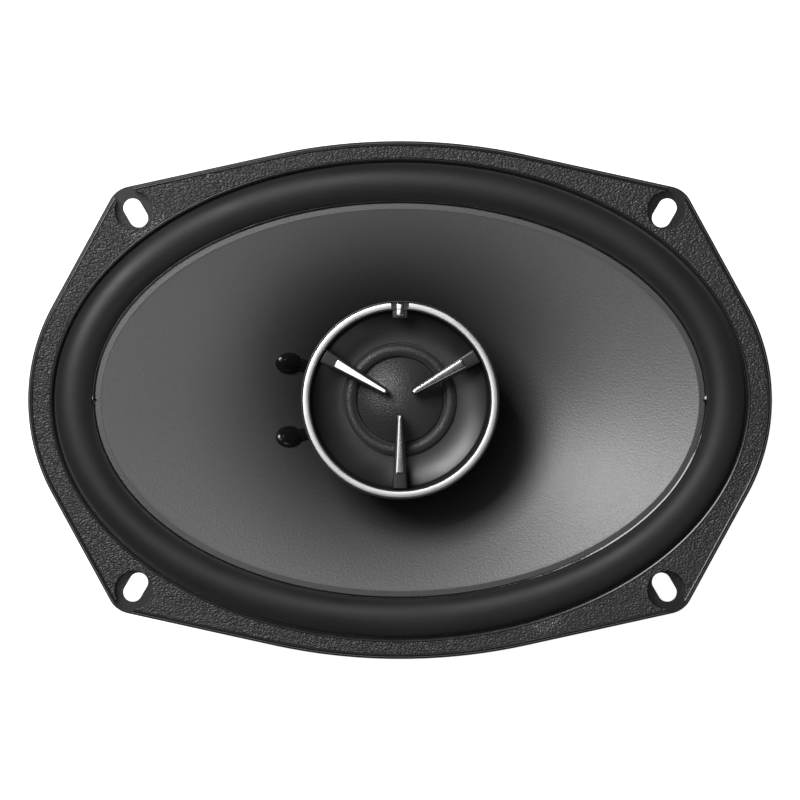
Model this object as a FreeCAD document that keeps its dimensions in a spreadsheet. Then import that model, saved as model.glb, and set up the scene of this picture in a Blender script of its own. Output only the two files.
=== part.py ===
"""Oval coaxial car speaker, 6 x 9 inch, in millimetres.

Z = 0 is the rear face of the basket's flange, which bolts against the panel.
+Z points out of the cone towards the listener and +X runs along the long axis.
"""

import FreeCAD
import Part

import math
import os
import re

import Sketcher
from FreeCAD import Placement, Rotation, Vector

SIZES = {
    # flange and gasket outline
    "outer_length": 237.0,
    "outer_width": 165.0,
    "top_radius": 188.8,
    "top_arc_end": 40.5,
    "side_radius": 62.2,
    "side_arc_end": 29.8,
    "corner_along": 90.5,
    "corner_across": 67.15,
    "corner_round": 8.5,
    "sheet": 1.2,
    "overcut": 2.0,
    "corner_inset_along": 0.66,
    "corner_inset_across": 0.88,
    "gasket_top": 5.0,
    "gasket_inset": 0.8,
    "gasket_half_length": 110.4,
    "gasket_half_width": 76.0,
    # screw slots and the recesses round them
    "slot_spacing_along": 168.4,
    "slot_spacing_across": 119.2,
    "slot_width": 6.0,
    "slot_length": 9.75,
    "slot_tilt": 59.4,
    "recess_radius": 6.15,
    "recess_shift": 0.8,
    "recess_mouth": 10.2,
    # basket wall, spider landing and motor cup
    "wall_half_length": 110.0,
    "wall_half_width": 75.5,
    "shoulder_half_length": 106.5,
    "shoulder_half_width": 71.5,
    "shoulder_depth": 14.0,
    "landing_radius": 54.0,
    "landing_depth": 37.0,
    "cup_radius": 42.0,
    "cup_depth": 51.0,
    "cup_hole_radius": 20.0,
    "window_inner_along": 58.0,
    "window_inner_across": 57.5,
    "window_outer_along": 101.0,
    "window_outer_across": 68.5,
    "end_window_angle": 17.7,
    "side_window_start": 35.3,
    "side_window_end": 79.9,
    # surround
    "surround_mid_length": 103.8,
    "surround_mid_width": 69.4,
    "roll_half_width": 6.1,
    "roll_radius": 6.25,
    "roll_skin": 0.6,
    "foot_in": 7.5,
    "foot_out": 9.0,
    "roll_inner_radius": 5.6,
    "rabbet_gap": 0.4,
    # cone
    "rim_half_length": 95.9,
    "rim_half_width": 61.5,
    "rim_height": 2.9,
    "lip": 1.3,
    "cone_skin": 0.9,
    "neck_radius": 17.4,
    "neck_depth": 31.0,
    "cap_half_length": 6.6,
    "cap_half_width": 3.3,
    "cap_half_height": 2.4,
    "cap_along": 33.6,
    "cap_across": 11.3,
    "cap_depth": 17.0,
    "cap_tilt": 12.0,
    "cap_gap": 0.01,
    # voice coil, dust ring and spider
    "former_radius": 17.3,
    "former_skin": 0.3,
    "former_top_depth": 27.0,
    "former_bottom_depth": 61.5,
    "winding_skin": 0.6,
    "winding_top_depth": 49.4,
    "winding_length": 12.0,
    "dust_ring_depth": 33.5,
    "dust_ring_thickness": 1.5,
    "dust_ring_gap": 0.7,
    "spider_inner": 17.7,
    "spider_outer": 47.0,
    "spider_wave_start": 21.0,
    "spider_wave_pitch": 3.9,
    "spider_wave_radius": 1.2,
    "spider_skin": 0.5,
    # motor
    "plate_radius": 46.0,
    "front_plate_thickness": 6.0,
    "gap_radius": 18.4,
    "ferrite_radius": 50.0,
    "ferrite_hole_radius": 25.0,
    "ferrite_thickness": 15.0,
    "back_plate_thickness": 6.0,
    "pole_radius": 16.4,
    "pole_top_depth": 51.7,
    "pole_bore_radius": 4.6,
    "pole_recess_radius": 8.0,
    "pole_recess_depth": 7.0,
    "wire_groove_width": 3.6,
    "wire_groove_depth": 3.0,
    "motor_rivet_circle": 30.0,
    "motor_rivet_radius": 1.8,
    "motor_rivet_head": 3.2,
    "rivet_head_height": 1.3,
    "rivet_bite": 4.0,
    # terminal board, capacitor and wires
    "board_inner_along": 46.0,
    "board_outer_along": 74.0,
    "board_half_width": 14.0,
    "board_thickness": 2.0,
    "board_rivet_along": 49.7,
    "terminal_across": 9.0,
    "terminal_start": 64.0,
    "terminal_end": 84.0,
    "terminal_thickness": 0.8,
    "wide_terminal": 4.75,
    "narrow_terminal": 2.8,
    "eyelet_along": 70.5,
    "eyelet_radius": 1.0,
    "eyelet_head": 1.3,
    "eyelet_head_height": 0.5,
    "board_rivet_radius": 1.3,
    "board_rivet_head": 2.3,
    "board_rivet_height": 0.9,
    "capacitor_radius": 5.0,
    "capacitor_length": 21.0,
    "capacitor_along": 63.0,
    "capacitor_gap": 0.1,
    "lead_radius": 0.8,
    "wire_radius": 0.6,
    # tweeter
    "post_radius": 6.0,
    "post_thread_radius": 4.5,
    "post_bore_radius": 2.6,
    "post_spigot_depth": 66.0,
    "post_flange_radius": 9.0,
    "post_flange_thickness": 2.0,
    "thread_gap": 0.05,
    "post_top_depth": 7.0,
    "nut_radius": 7.8,
    "nut_height": 2.8,
    "nut_room": 0.8,
    "housing_radius": 30.9,
    "housing_wall": 2.0,
    "housing_foot_radius": 22.0,
    "housing_foot_depth": 12.0,
    "housing_waist_height": 2.0,
    "housing_top": 11.0,
    "yoke_seat_depth": 6.0,
    "yoke_radius": 17.5,
    "yoke_bore_radius": 14.2,
    "yoke_floor": 2.5,
    "yoke_ledge": 1.0,
    "yoke_top": 4.5,
    "disc_magnet_radius": 11.6,
    "pole_disc_radius": 12.3,
    "pole_disc_thickness": 3.0,
    "carrier_inner": 17.8,
    "carrier_outer": 22.6,
    "carrier_bottom": 5.0,
    "bezel_radius": 31.4,
    "bezel_top": 16.0,
    "bezel_edge": 0.55,
    "clip_inner": 22.8,
    "clip_outer": 24.4,
    "bezel_throat_radius": 18.2,
    "bezel_throat_height": 7.3,
    "bowl_radius": 28.6,
    "bowl_step_radius": 27.6,
    "bowl_step_height": 10.6,
    "bowl_curve": 40.0,
    "ring_inner_radius": 29.0,
    "ring_outer_radius": 30.7,
    "ring_seat": 15.2,
    "ring_height": 1.0,
    "ring_gap": 5.6,
    "ring_room": 0.05,
    "mark_width": 2.4,
    "mark_start": 26.4,
    "mark_length": 4.2,
    "mark_height": 0.8,
    "mark_margin": 0.6,
    "fin_bottom": 12.0,
    "fin_base_radius": 28.5,
    "fin_tip_radius": 5.6,
    "fin_base_width": 5.0,
    "fin_tip_width": 2.6,
    "tip_roundness": 0.52,
    "inlay_outer_radius": 23.2,
    "inlay_base_width": 2.7,
    "inlay_tip_width": 1.1,
    "inlay_height": 0.5,
    "dome_radius": 13.6,
    "dome_sphere": 24.2,
    "dome_base": 6.6,
    "dome_skin": 0.3,
    "tweeter_roll_start": 13.9,
    "tweeter_roll_inside": 17.7,
    "tweeter_roll_outside": 18.0,
    "tweeter_roll_foot": 19.6,
    "tweeter_roll_under": 1.95,
    "tweeter_roll_over": 2.1,
    "tweeter_coil_radius": 13.0,
    "tweeter_coil_skin": 0.3,
    "tweeter_former_skin": 0.1,
    "tweeter_coil_bottom": 1.6,
    "tweeter_winding_height": 3.2,
}

CONE_STEPS = 7
CONE_CURVE = 0.62
MOTOR_RIVETS = 6
SPIDER_WAVES = 5
RIGHT_ANGLE = 90.0
BEND_SHARE = 0.45
TOUCHING = 0.01

doc = FreeCAD.newDocument("car_speaker")
sheet = doc.addObject("Spreadsheet::Sheet", "sizes")
for row, (name, number) in enumerate(SIZES.items(), start=1):
    sheet.set(f"A{row}", name)
    sheet.set(f"B{row}", str(number))
    sheet.setAlias(f"B{row}", name)
doc.recompute()


def named(text):
    """An expression over the sheet's cells, from the same words without the sheet's name."""
    return re.sub(r"[a-z]\w*", lambda word: "sizes." * (word[0] in SIZES) + word[0], text)


def value(text):
    """The number that an expression over the sheet gives now."""
    return float(sheet.evalExpression(named(text)))


def bind(target, **sizes):
    """Sets properties and ties each one to its expression; Base_x means Placement.Base.x."""
    for prop, text in sizes.items():
        path = prop.replace("Base_", "Placement.Base.").replace("Turn", "Placement.Rotation.Angle")
        target.setExpression(path, named(text))
    return target


# ---------------------------------------------------------------- drawing and solid helpers


def draw(sketch, corners, bulges=None):
    """A closed outline; bulges maps an edge to its radius, with a minus where it swells to its left."""
    bulges = bulges or {}
    points = [Vector(value(along), value(up), 0) for along, up in corners]
    count = len(points)
    ends = []
    for edge, start in enumerate(points):
        stop = points[(edge + 1) % count]
        if edge in bulges:
            radius = value(bulges[edge].lstrip("-"))
            left = bulges[edge].startswith("-")
            run = stop - start
            across = Vector(run.y, -run.x, 0).normalize()
            rise = math.sqrt(max(radius**2 - (run.Length / 2) ** 2, 0))
            centre = (start + stop) * 0.5 + across * (rise if left else -rise)
            first, last = (stop, start) if left else (start, stop)
            angles = [math.atan2(p.y - centre.y, p.x - centre.x) for p in (first, last)]
            circle = Part.Circle(centre, Vector(0, 0, 1), radius)
            sketch.addGeometry(Part.ArcOfCircle(circle, *angles), False)
            ends.append((2, 1) if left else (1, 2))
        else:
            sketch.addGeometry(Part.LineSegment(start, stop), False)
            ends.append((1, 2))
    rules = []
    ties = []
    for edge in range(count):
        following = (edge + 1) % count
        rules.append(Sketcher.Constraint("Coincident", edge, ends[edge][1], following, ends[following][0]))
    for edge, (along, up) in enumerate(corners):
        for kind, text, number in (
            ("DistanceX", along, points[edge].x),
            ("DistanceY", up, points[edge].y),
        ):
            ties.append((len(rules), text))
            rules.append(Sketcher.Constraint(kind, -1, 1, edge, ends[edge][0], number))
    for edge, text in bulges.items():
        ties.append((len(rules), text.lstrip("-")))
        rules.append(Sketcher.Constraint("Radius", edge, value(text.lstrip("-"))))
    sketch.addConstraint(rules)
    for index, text in ties:
        if any(letter.isalpha() for letter in text):
            sketch.renameConstraint(index, f"size_{index}")
            sketch.setExpression(f"Constraints.size_{index}", named(text))
    return sketch


def attached(body, name, role):
    """A sketch on one of the body's own origin planes."""
    sketch = body.newObject("Sketcher::SketchObject", name)
    face = next(item for item in body.Origin.OriginFeatures if item.Role == role)
    sketch.AttachmentSupport = [(face, "")]
    sketch.MapMode = "FlatFace"
    return sketch


def turned(name, corners, bulges=None):
    """A body turned about Z from an outline of (radius, height) corners."""
    body = doc.addObject("PartDesign::Body", name)
    profile = draw(attached(body, name + "_profile", "XZ_Plane"), corners, bulges)
    turn = body.newObject("PartDesign::Revolution", name + "_turn")
    turn.Profile = profile
    turn.ReferenceAxis = (profile, ["V_Axis"])
    turn.Angle = 360
    return body


def padded(name, corners, bottom, height, bulges=None):
    """A body raised along Z from an outline of (x, y) corners, starting at a height of bottom."""
    body = doc.addObject("PartDesign::Body", name)
    profile = draw(attached(body, name + "_profile", "XY_Plane"), corners, bulges)
    profile.setExpression("AttachmentOffset.Base.z", named(bottom))
    pad = body.newObject("PartDesign::Pad", name + "_pad")
    pad.Profile = profile
    bind(pad, Length=height)
    return body


def ring(name, outer, inner, bottom, top):
    """A plain ring of square section between two radii and two heights."""
    return turned(name, [(inner, bottom), (outer, bottom), (outer, top), (inner, top)])


def cut(name, base, tool):
    """What is left of base without tool."""
    result = doc.addObject("Part::Cut", name)
    result.Base = base
    result.Tool = tool
    return result


def common(name, base, tool):
    """What base and tool share."""
    result = doc.addObject("Part::Common", name)
    result.Base = base
    result.Tool = tool
    return result


def joined(name, pieces):
    """Pieces fused into one solid where they touch."""
    result = doc.addObject("Part::MultiFuse", name)
    result.Shapes = pieces
    result.Refine = True
    return result


def group(name, pieces):
    """Separate solids kept as one sub-part."""
    result = doc.addObject("Part::Compound", name)
    result.Links = pieces
    return result


def drum(name, radius, bottom, height, along="0", across="0"):
    """An upright cylinder."""
    result = doc.addObject("Part::Cylinder", name)
    return bind(result, Radius=radius, Height=height, Base_x=along, Base_y=across, Base_z=bottom)


def block(name, low, size):
    """A box from its lowest corner and its three sizes."""
    result = doc.addObject("Part::Box", name)
    bind(result, Base_x=low[0], Base_y=low[1], Base_z=low[2])
    return bind(result, Length=size[0], Width=size[1], Height=size[2])


def oval(name, half_length, half_width, height):
    """An ellipse lying level at a height."""
    result = doc.addObject("Part::Ellipse", name)
    return bind(result, MajorRadius=half_length, MinorRadius=half_width, Base_z=height)


def oval_drum(name, half_length, half_width, bottom, height):
    """An upright prism of elliptical section."""
    result = doc.addObject("Part::Extrusion", name)
    result.Base = oval(name + "_outline", half_length, half_width, bottom)
    result.Dir = Vector(0, 0, 1)
    result.Solid = True
    return bind(result, LengthFwd=height)


def oval_loft(name, sections, ruled):
    """A solid through level ellipses of (half length, half width, height)."""
    result = doc.addObject("Part::Loft", name)
    result.Sections = [oval(f"{name}_{index}", *each) for index, each in enumerate(sections)]
    result.Solid = True
    result.Ruled = ruled
    return result


def tube(name, points, radius, arc=None):
    """A round wire or lead: straight runs joined by tangent arcs, as wide as fit unless given."""
    path = []
    at = points[0]
    for before, here, after in zip(points, points[1:], points[2:]):
        arriving = (here - before).normalize()
        leaving = (after - here).normalize()
        half_turn = arriving.getAngle(leaving) / 2
        reach = BEND_SHARE * min((here - before).Length, (after - here).Length)
        bend = arc or reach / math.tan(half_turn)
        reach = bend * math.tan(half_turn)
        first = here - arriving * reach
        last = here + leaving * reach
        outwards = (arriving - leaving).normalize()
        middle = here - outwards * (bend / math.cos(half_turn) - bend)
        path += [Part.LineSegment(at, first), Part.Arc(first, middle, last)]
        at = last
        print(f"{name}: bend radius {bend:.1f}")
    path.append(Part.LineSegment(at, points[-1]))
    spine = Part.Wire([curve.toShape() for curve in path])
    facing = points[1] - points[0]
    disc = Part.Wire(Part.Circle(points[0], facing, radius).toShape())
    result = doc.addObject("Part::Feature", name)
    result.Shape = spine.makePipeShell([disc], True, True)
    expected = math.pi * radius**2 * spine.Length
    print(f"{name}: length {spine.Length:.1f}, volume {result.Shape.Volume:.1f} of {expected:.1f}")
    return result


# ---------------------------------------------------------------- basket: flange, wall, landing and cup

def speaker_outline(name, bottom, height, inset):
    """The flange's outline, or one inset from it: flat arcs above and below, short arcs at the ends."""
    top = f"(1 - {inset}/top_radius)"
    side = f"(1 - {inset}/side_radius)"
    top_end = (
        f"top_arc_end * {top}",
        f"outer_width/2 - top_radius + sqrt(top_radius^2 - top_arc_end^2) * {top}",
    )
    corner = (
        f"corner_along - corner_inset_along * {inset}",
        f"corner_across - corner_inset_across * {inset}",
    )
    side_end = (
        f"outer_length/2 - side_radius + sqrt(side_radius^2 - side_arc_end^2) * {side}",
        f"side_arc_end * {side}",
    )
    quarter = [top_end, corner, side_end]
    right_low = [(along, f"-({up})") for along, up in reversed(quarter)]
    left_low = [(f"-({along})", f"-({up})") for along, up in quarter]
    left_top = [(f"-({along})", up) for along, up in reversed(quarter)]
    top_arc = f"-(top_radius - {inset})"
    side_arc = f"-(side_radius - {inset})"
    bulges = {2: side_arc, 5: top_arc, 8: side_arc, 11: top_arc}
    body = padded(name, quarter + right_low + left_low + left_top, bottom, height, bulges)
    doc.recompute()
    pad = body.Tip
    corner_x = value(corner[0])
    edges = []
    for index, edge in enumerate(pad.Shape.Edges, start=1):
        upright = edge.BoundBox.XLength < TOUCHING < edge.BoundBox.ZLength
        if upright and abs(abs(edge.Vertexes[0].X) - corner_x) < TOUCHING:
            edges.append(f"Edge{index}")
    rounding = body.newObject("PartDesign::Fillet", name + "_corners")
    rounding.Base = (pad, edges)
    bind(rounding, Radius=f"corner_round - {inset}")
    return body


def at_corners(name, make, bottom):
    """One piece at each screw position, turned so that its +X points away from the cone."""
    made = []
    for along in (1, -1):
        for across in (1, -1):
            piece = bind(
                make(f"{name}_{len(made)}"),
                Base_x=f"{along} * slot_spacing_along/2",
                Base_y=f"{across} * slot_spacing_across/2",
                Base_z=bottom,
                Turn={
                    (1, 1): "slot_tilt",
                    (-1, 1): "180 - slot_tilt",
                    (-1, -1): "180 + slot_tilt",
                    (1, -1): "-slot_tilt",
                }[along, across],
            )
            made.append(piece)
    return group(name, made)


def screw_slot(name):
    """The space of one round-ended slot through the flange."""
    straight = "(slot_length - slot_width)/2"
    height = "sheet + overcut"
    middle = block(
        name + "_middle",
        (f"-{straight}", "-slot_width/2", "0"),
        (f"2 * {straight}", "slot_width", height),
    )
    inner_end = drum(name + "_inner_end", "slot_width/2", "0", height, f"-{straight}")
    outer_end = drum(name + "_outer_end", "slot_width/2", "0", height, straight)
    return joined(name, [middle, inner_end, outer_end])


def screw_recess(name):
    """The round space for a screw's head in the gasket, open at the corner."""
    height = "gasket_top + overcut"
    seat = drum(name + "_seat", "recess_radius", "0", height, "recess_shift")
    mouth = block(
        name + "_mouth",
        ("recess_shift", "-recess_mouth/2", "0"),
        ("2 * recess_radius", "recess_mouth", height),
    )
    return joined(name, [seat, mouth])


def wall(name, skin):
    """The space inside a wall of the basket that lies skin inside the outer face."""
    return oval_loft(
        name,
        [
            (f"wall_half_length - {skin}", f"wall_half_width - {skin}", "sheet"),
            (f"wall_half_length - {skin}", f"wall_half_width - {skin}", "0"),
            (f"shoulder_half_length - {skin}", f"shoulder_half_width - {skin}", "-shoulder_depth"),
            (f"landing_radius - {skin}", f"landing_radius - {skin}", "-landing_depth"),
        ],
        True,
    )


def window(index, start, end):
    """A wedge from the axis between two angles, through the whole depth of the basket."""
    reach = "outer_length"
    corners = [
        ("0", "0"),
        (f"{reach} * cos({start})", f"{reach} * sin({start})"),
        (f"{reach} * cos({end})", f"{reach} * sin({end})"),
    ]
    return padded(f"window_{index}", corners, "-cup_depth", "cup_depth")


WINDOWS = [
    ("-end_window_angle", "end_window_angle"),
    ("side_window_start", "side_window_end"),
    ("180 - side_window_end", "180 - side_window_start"),
    ("180 - end_window_angle", "180 + end_window_angle"),
    ("180 + side_window_start", "180 + side_window_end"),
    ("-side_window_end", "-side_window_start"),
]
window_band = cut(
    "window_band",
    oval_drum("window_far", "window_outer_along", "window_outer_across", "-cup_depth", "cup_depth"),
    oval_drum("window_near", "window_inner_along", "window_inner_across", "-cup_depth", "cup_depth"),
)
wedges = group("window_wedges", [window(index, *span) for index, span in enumerate(WINDOWS)])
windows = common("windows", window_band, wedges)

wall_shell = cut("wall_shell", wall("wall_outside", "0"), wall("wall_inside", "sheet"))
pierced_wall = cut("pierced_wall", wall_shell, windows)

flange_blank = speaker_outline("flange_blank", "0", "sheet", "0")
flange_hole = oval_drum(
    "flange_hole",
    "wall_half_length - sheet",
    "wall_half_width - sheet",
    "-overcut/2",
    "sheet + overcut",
)
flange_slots = at_corners("flange_slots", screw_slot, "-overcut/2")
flange_plate = cut("flange_plate", cut("open_flange", flange_blank, flange_hole), flange_slots)

cup = turned(
    "motor_cup",
    [
        ("cup_hole_radius", "-cup_depth - sheet"),
        ("cup_radius", "-cup_depth - sheet"),
        ("cup_radius", "-landing_depth - sheet"),
        ("landing_radius", "-landing_depth - sheet"),
        ("landing_radius", "-landing_depth"),
        ("cup_radius - sheet", "-landing_depth"),
        ("cup_radius - sheet", "-cup_depth"),
        ("cup_hole_radius", "-cup_depth"),
    ],
)


def on_circle(name, radius, bottom, height):
    """Upright pins on the motor's rivet circle."""
    pins = [
        drum(
            f"{name}_{index}",
            radius,
            bottom,
            height,
            f"motor_rivet_circle * cos({index} * 360 / {MOTOR_RIVETS})",
            f"motor_rivet_circle * sin({index} * 360 / {MOTOR_RIVETS})",
        )
        for index in range(MOTOR_RIVETS)
    ]
    return group(name, pins)


def pair(name, radius, bottom, height, along, across):
    """Two upright pins, one each side of the terminal board's middle line."""
    pins = [
        drum(f"{name}_{side}", radius, bottom, height, f"-{along}", f"{sign}({across})")
        for side, sign in (("left", "-"), ("right", ""))
    ]
    return group(name, pins)


motor_rivet_holes = on_circle(
    "motor_rivet_holes", "motor_rivet_radius", "-cup_depth - sheet - rivet_bite", "sheet + rivet_bite"
)
board_rivet_holes = pair(
    "board_rivet_holes",
    "board_rivet_radius",
    "-landing_depth - sheet - board_thickness",
    "sheet + board_thickness",
    "board_rivet_along",
    "terminal_across",
)
basket_sheet = joined("basket_sheet", [flange_plate, pierced_wall, cup])
drilled_basket = cut("drilled_basket", basket_sheet, motor_rivet_holes)
basket = cut("basket", drilled_basket, board_rivet_holes)

# ---------------------------------------------------------------- front gasket, glued to the flange

gasket_blank = speaker_outline("gasket_blank", "sheet", "gasket_top - sheet", "gasket_inset")
gasket_hole = oval_drum(
    "gasket_hole", "gasket_half_length", "gasket_half_width", "0", "gasket_top + overcut"
)
gasket_rabbet = oval_drum(
    "gasket_rabbet",
    "surround_mid_length + foot_out + rabbet_gap",
    "surround_mid_width + foot_out + rabbet_gap",
    "0",
    "sheet + roll_skin",
)
gasket_recesses = at_corners("gasket_recesses", screw_recess, "0")
open_gasket = cut("open_gasket", cut("gasket_ring", gasket_blank, gasket_hole), gasket_rabbet)
gasket = cut("gasket", open_gasket, gasket_recesses)

# ---------------------------------------------------------------- surround: a half roll with two flat feet

surround_path = oval("surround_path", "surround_mid_length", "surround_mid_width", "0")
surround_section = doc.addObject("Sketcher::SketchObject", "surround_section")
surround_section.Placement = Placement(Vector(), Rotation(Vector(1, 0, 0), RIGHT_ANGLE))
MID = "surround_mid_length"
INNER_ROLL = "(roll_half_width - roll_skin)"
draw(
    surround_section,
    [
        (f"{MID} - foot_in", "sheet"),
        (f"{MID} - {INNER_ROLL}", "sheet"),
        (f"{MID} + {INNER_ROLL}", "sheet"),
        (f"{MID} + foot_out", "sheet"),
        (f"{MID} + foot_out", "sheet + roll_skin"),
        (f"{MID} + roll_half_width", "sheet + roll_skin"),
        (f"{MID} - roll_half_width", "sheet + roll_skin"),
        (f"{MID} - foot_in", "sheet + roll_skin"),
    ],
    {1: "-roll_inner_radius", 5: "roll_radius"},
)
surround = doc.addObject("Part::Sweep", "surround")
surround.Sections = [surround_section]
surround.Spine = (surround_path, ["Edge1"])
surround.Solid = True
surround.Frenet = True

# ---------------------------------------------------------------- cone: steep at the neck, flat at the rim


def cone_space(name, neck_skin, rim_skin):
    """The bowl inside the cone, or with skins the bowl's outside."""
    sections = []
    for step in range(CONE_STEPS + 1):
        share = step / CONE_STEPS
        neck = f"(neck_radius + {neck_skin})"
        long = f"(rim_half_length + {rim_skin})"
        wide = f"(rim_half_width + {rim_skin})"
        sections.append(
            (
                f"{neck} + ({long} - {neck}) * {share}",
                f"{neck} + ({wide} - {neck}) * {share}",
                f"-neck_depth + (rim_height + neck_depth) * {share} ^ {CONE_CURVE}",
            )
        )
    return oval_loft(name, sections, False)


cone = cut("cone", cone_space("cone_back", "cone_skin", "lip"), cone_space("cone_front", "0", "0"))

# ---------------------------------------------------------------- glue caps where the leads come through


def lead_cap(side, sign):
    """A glue drop on the cone's face, drawn out towards the neck."""
    drop = doc.addObject("Part::Ellipsoid", f"lead_drop_{side}")
    bind(drop, Radius1="cap_half_height", Radius2="cap_half_length", Radius3="cap_half_width")
    bind(drop, Base_x="-cap_along", Base_y=f"{sign} * cap_across", Base_z="-cap_depth")
    bind(drop, Turn=f"-{sign} * cap_tilt")
    return drop


drops = group("lead_drops", [lead_cap("right", 1), lead_cap("left", -1)])
lead_glue_caps = common("lead_glue_caps", drops, cone_space("cap_space", "-cap_gap", "-cap_gap"))

# ---------------------------------------------------------------- voice coil, dust ring and spider

voice_coil_former = ring(
    "voice_coil_former",
    "former_radius",
    "former_radius - former_skin",
    "-former_bottom_depth",
    "-former_top_depth",
)
voice_coil_winding = ring(
    "voice_coil_winding",
    "former_radius + winding_skin",
    "former_radius",
    "-winding_top_depth - winding_length",
    "-winding_top_depth",
)
dust_ring = ring(
    "dust_ring",
    "former_radius - former_skin",
    "post_radius + dust_ring_gap",
    "-dust_ring_depth",
    "-dust_ring_depth + dust_ring_thickness",
)

SPIDER_BOTTOM = "-landing_depth"
SPIDER_TOP = "-landing_depth + spider_skin"
spider_low = [("spider_inner", SPIDER_BOTTOM)]
for crossing in range(2 * SPIDER_WAVES + 1):
    spider_low.append((f"spider_wave_start + {crossing} * spider_wave_pitch/2", SPIDER_BOTTOM))
spider_low.append(("spider_outer", SPIDER_BOTTOM))
spider_high = [(radius, SPIDER_TOP) for radius, height in reversed(spider_low)]
spider_arcs = {}
last_edge = 2 * len(spider_low) - 2
for crossing in range(2 * SPIDER_WAVES):
    upward = crossing % 2 == 0
    spider_arcs[crossing + 1] = "-spider_wave_radius" if upward else "spider_wave_radius"
    spider_arcs[last_edge - crossing - 1] = "spider_wave_radius" if upward else "-spider_wave_radius"
spider = turned("spider", spider_low + spider_high, spider_arcs)

# ---------------------------------------------------------------- motor: plates, ferrite ring and pole

FRONT_TOP = "-cup_depth - sheet"
FERRITE_TOP = "-cup_depth - sheet - front_plate_thickness"
BACK_TOP = "-cup_depth - sheet - front_plate_thickness - ferrite_thickness"
BACK_BOTTOM = f"{BACK_TOP} - back_plate_thickness"
solid_front_plate = ring("solid_front_plate", "plate_radius", "gap_radius", FERRITE_TOP, FRONT_TOP)
front_plate = cut("front_plate", solid_front_plate, motor_rivet_holes)
ferrite_magnet = ring(
    "ferrite_magnet", "ferrite_radius", "ferrite_hole_radius", BACK_TOP, FERRITE_TOP
)
turned_pole = turned(
    "turned_pole",
    [
        ("pole_recess_radius", BACK_BOTTOM),
        ("plate_radius", BACK_BOTTOM),
        ("plate_radius", BACK_TOP),
        ("pole_radius", BACK_TOP),
        ("pole_radius", "-pole_top_depth"),
        ("pole_bore_radius", "-pole_top_depth"),
        ("pole_bore_radius", f"{BACK_BOTTOM} + pole_recess_depth"),
        ("pole_recess_radius", f"{BACK_BOTTOM} + pole_recess_depth"),
    ],
)
wire_groove = block(
    "wire_groove",
    ("-plate_radius", "-wire_groove_width/2", BACK_BOTTOM),
    ("plate_radius", "wire_groove_width", "wire_groove_depth"),
)
back_plate_pole = cut("back_plate_pole", turned_pole, wire_groove)

rivet_shanks = on_circle(
    "rivet_shanks", "motor_rivet_radius", "-cup_depth - sheet - rivet_bite", "sheet + rivet_bite"
)
rivet_heads = on_circle("rivet_heads", "motor_rivet_head", "-cup_depth", "rivet_head_height")
motor_rivets = joined("motor_rivets", [rivet_shanks, rivet_heads])

# ---------------------------------------------------------------- terminal board and capacitor

BOARD_TOP = "-landing_depth - sheet"
board_blank = block(
    "board_blank",
    ("-board_outer_along", "-board_half_width", f"{BOARD_TOP} - board_thickness"),
    ("board_outer_along - board_inner_along", "2 * board_half_width", "board_thickness"),
)
eyelet_holes = pair(
    "eyelet_holes",
    "eyelet_radius",
    f"{BOARD_TOP} - board_thickness",
    "board_thickness + terminal_thickness",
    "eyelet_along",
    "terminal_across",
)
riveted_board = cut("riveted_board", board_blank, board_rivet_holes)
terminal_board = cut("terminal_board", riveted_board, eyelet_holes)


def terminal(name, width, sign):
    """A flat blade lying on the board, with its eyelet's hole."""
    blade = block(
        name + "_blade",
        ("-terminal_end", f"{sign} * terminal_across - {width}/2", BOARD_TOP),
        ("terminal_end - terminal_start", width, "terminal_thickness"),
    )
    return cut(name, blade, eyelet_holes)


terminal_positive = terminal("terminal_positive", "wide_terminal", 1)
terminal_negative = terminal("terminal_negative", "narrow_terminal", -1)

terminal_eyelets = joined(
    "terminal_eyelets",
    [
        pair(
            "eyelet_shanks",
            "eyelet_radius",
            f"{BOARD_TOP} - board_thickness",
            "board_thickness + terminal_thickness",
            "eyelet_along",
            "terminal_across",
        ),
        pair(
            "eyelet_tops",
            "eyelet_head",
            f"{BOARD_TOP} + terminal_thickness",
            "eyelet_head_height",
            "eyelet_along",
            "terminal_across",
        ),
        pair(
            "eyelet_feet",
            "eyelet_head",
            f"{BOARD_TOP} - board_thickness - eyelet_head_height",
            "eyelet_head_height",
            "eyelet_along",
            "terminal_across",
        ),
    ],
)
board_rivets = joined(
    "board_rivets",
    [
        pair(
            "board_shanks",
            "board_rivet_radius",
            f"{BOARD_TOP} - board_thickness",
            "sheet + board_thickness",
            "board_rivet_along",
            "terminal_across",
        ),
        pair(
            "board_heads",
            "board_rivet_head",
            "-landing_depth",
            "board_rivet_height",
            "board_rivet_along",
            "terminal_across",
        ),
        pair(
            "board_feet",
            "board_rivet_head",
            f"{BOARD_TOP} - board_thickness - board_rivet_height",
            "board_rivet_height",
            "board_rivet_along",
            "terminal_across",
        ),
    ],
)

crossover_capacitor = doc.addObject("Part::Cylinder", "crossover_capacitor")
crossover_capacitor.Placement.Rotation = Rotation(Vector(1, 0, 0), -RIGHT_ANGLE)
bind(
    crossover_capacitor,
    Radius="capacitor_radius",
    Height="capacitor_length",
    Base_x="-capacitor_along",
    Base_y="-capacitor_length/2",
    Base_z=f"{BOARD_TOP} - board_thickness - capacitor_gap - capacitor_radius",
)

# ---------------------------------------------------------------- tinsel leads and tweeter wires

LEAD_ROUTE = [
    (-66.0, 9.0, -36.6),
    (-68.5, 9.4, -29.0),
    (-61.0, 10.4, -22.8),
    (-51.5, 11.4, -24.4),
    (-43.2, 11.9, -28.0),
    (-37.2, 11.8, -17.2),
]
WIRE_ROUTE = [(-54.0, -40.3), (-54.0, -77.4), (0.0, -77.4), (0.0, -7.4)]
WIRE_BEND = 4.5
WIRE_SPREAD = 0.75


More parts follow.
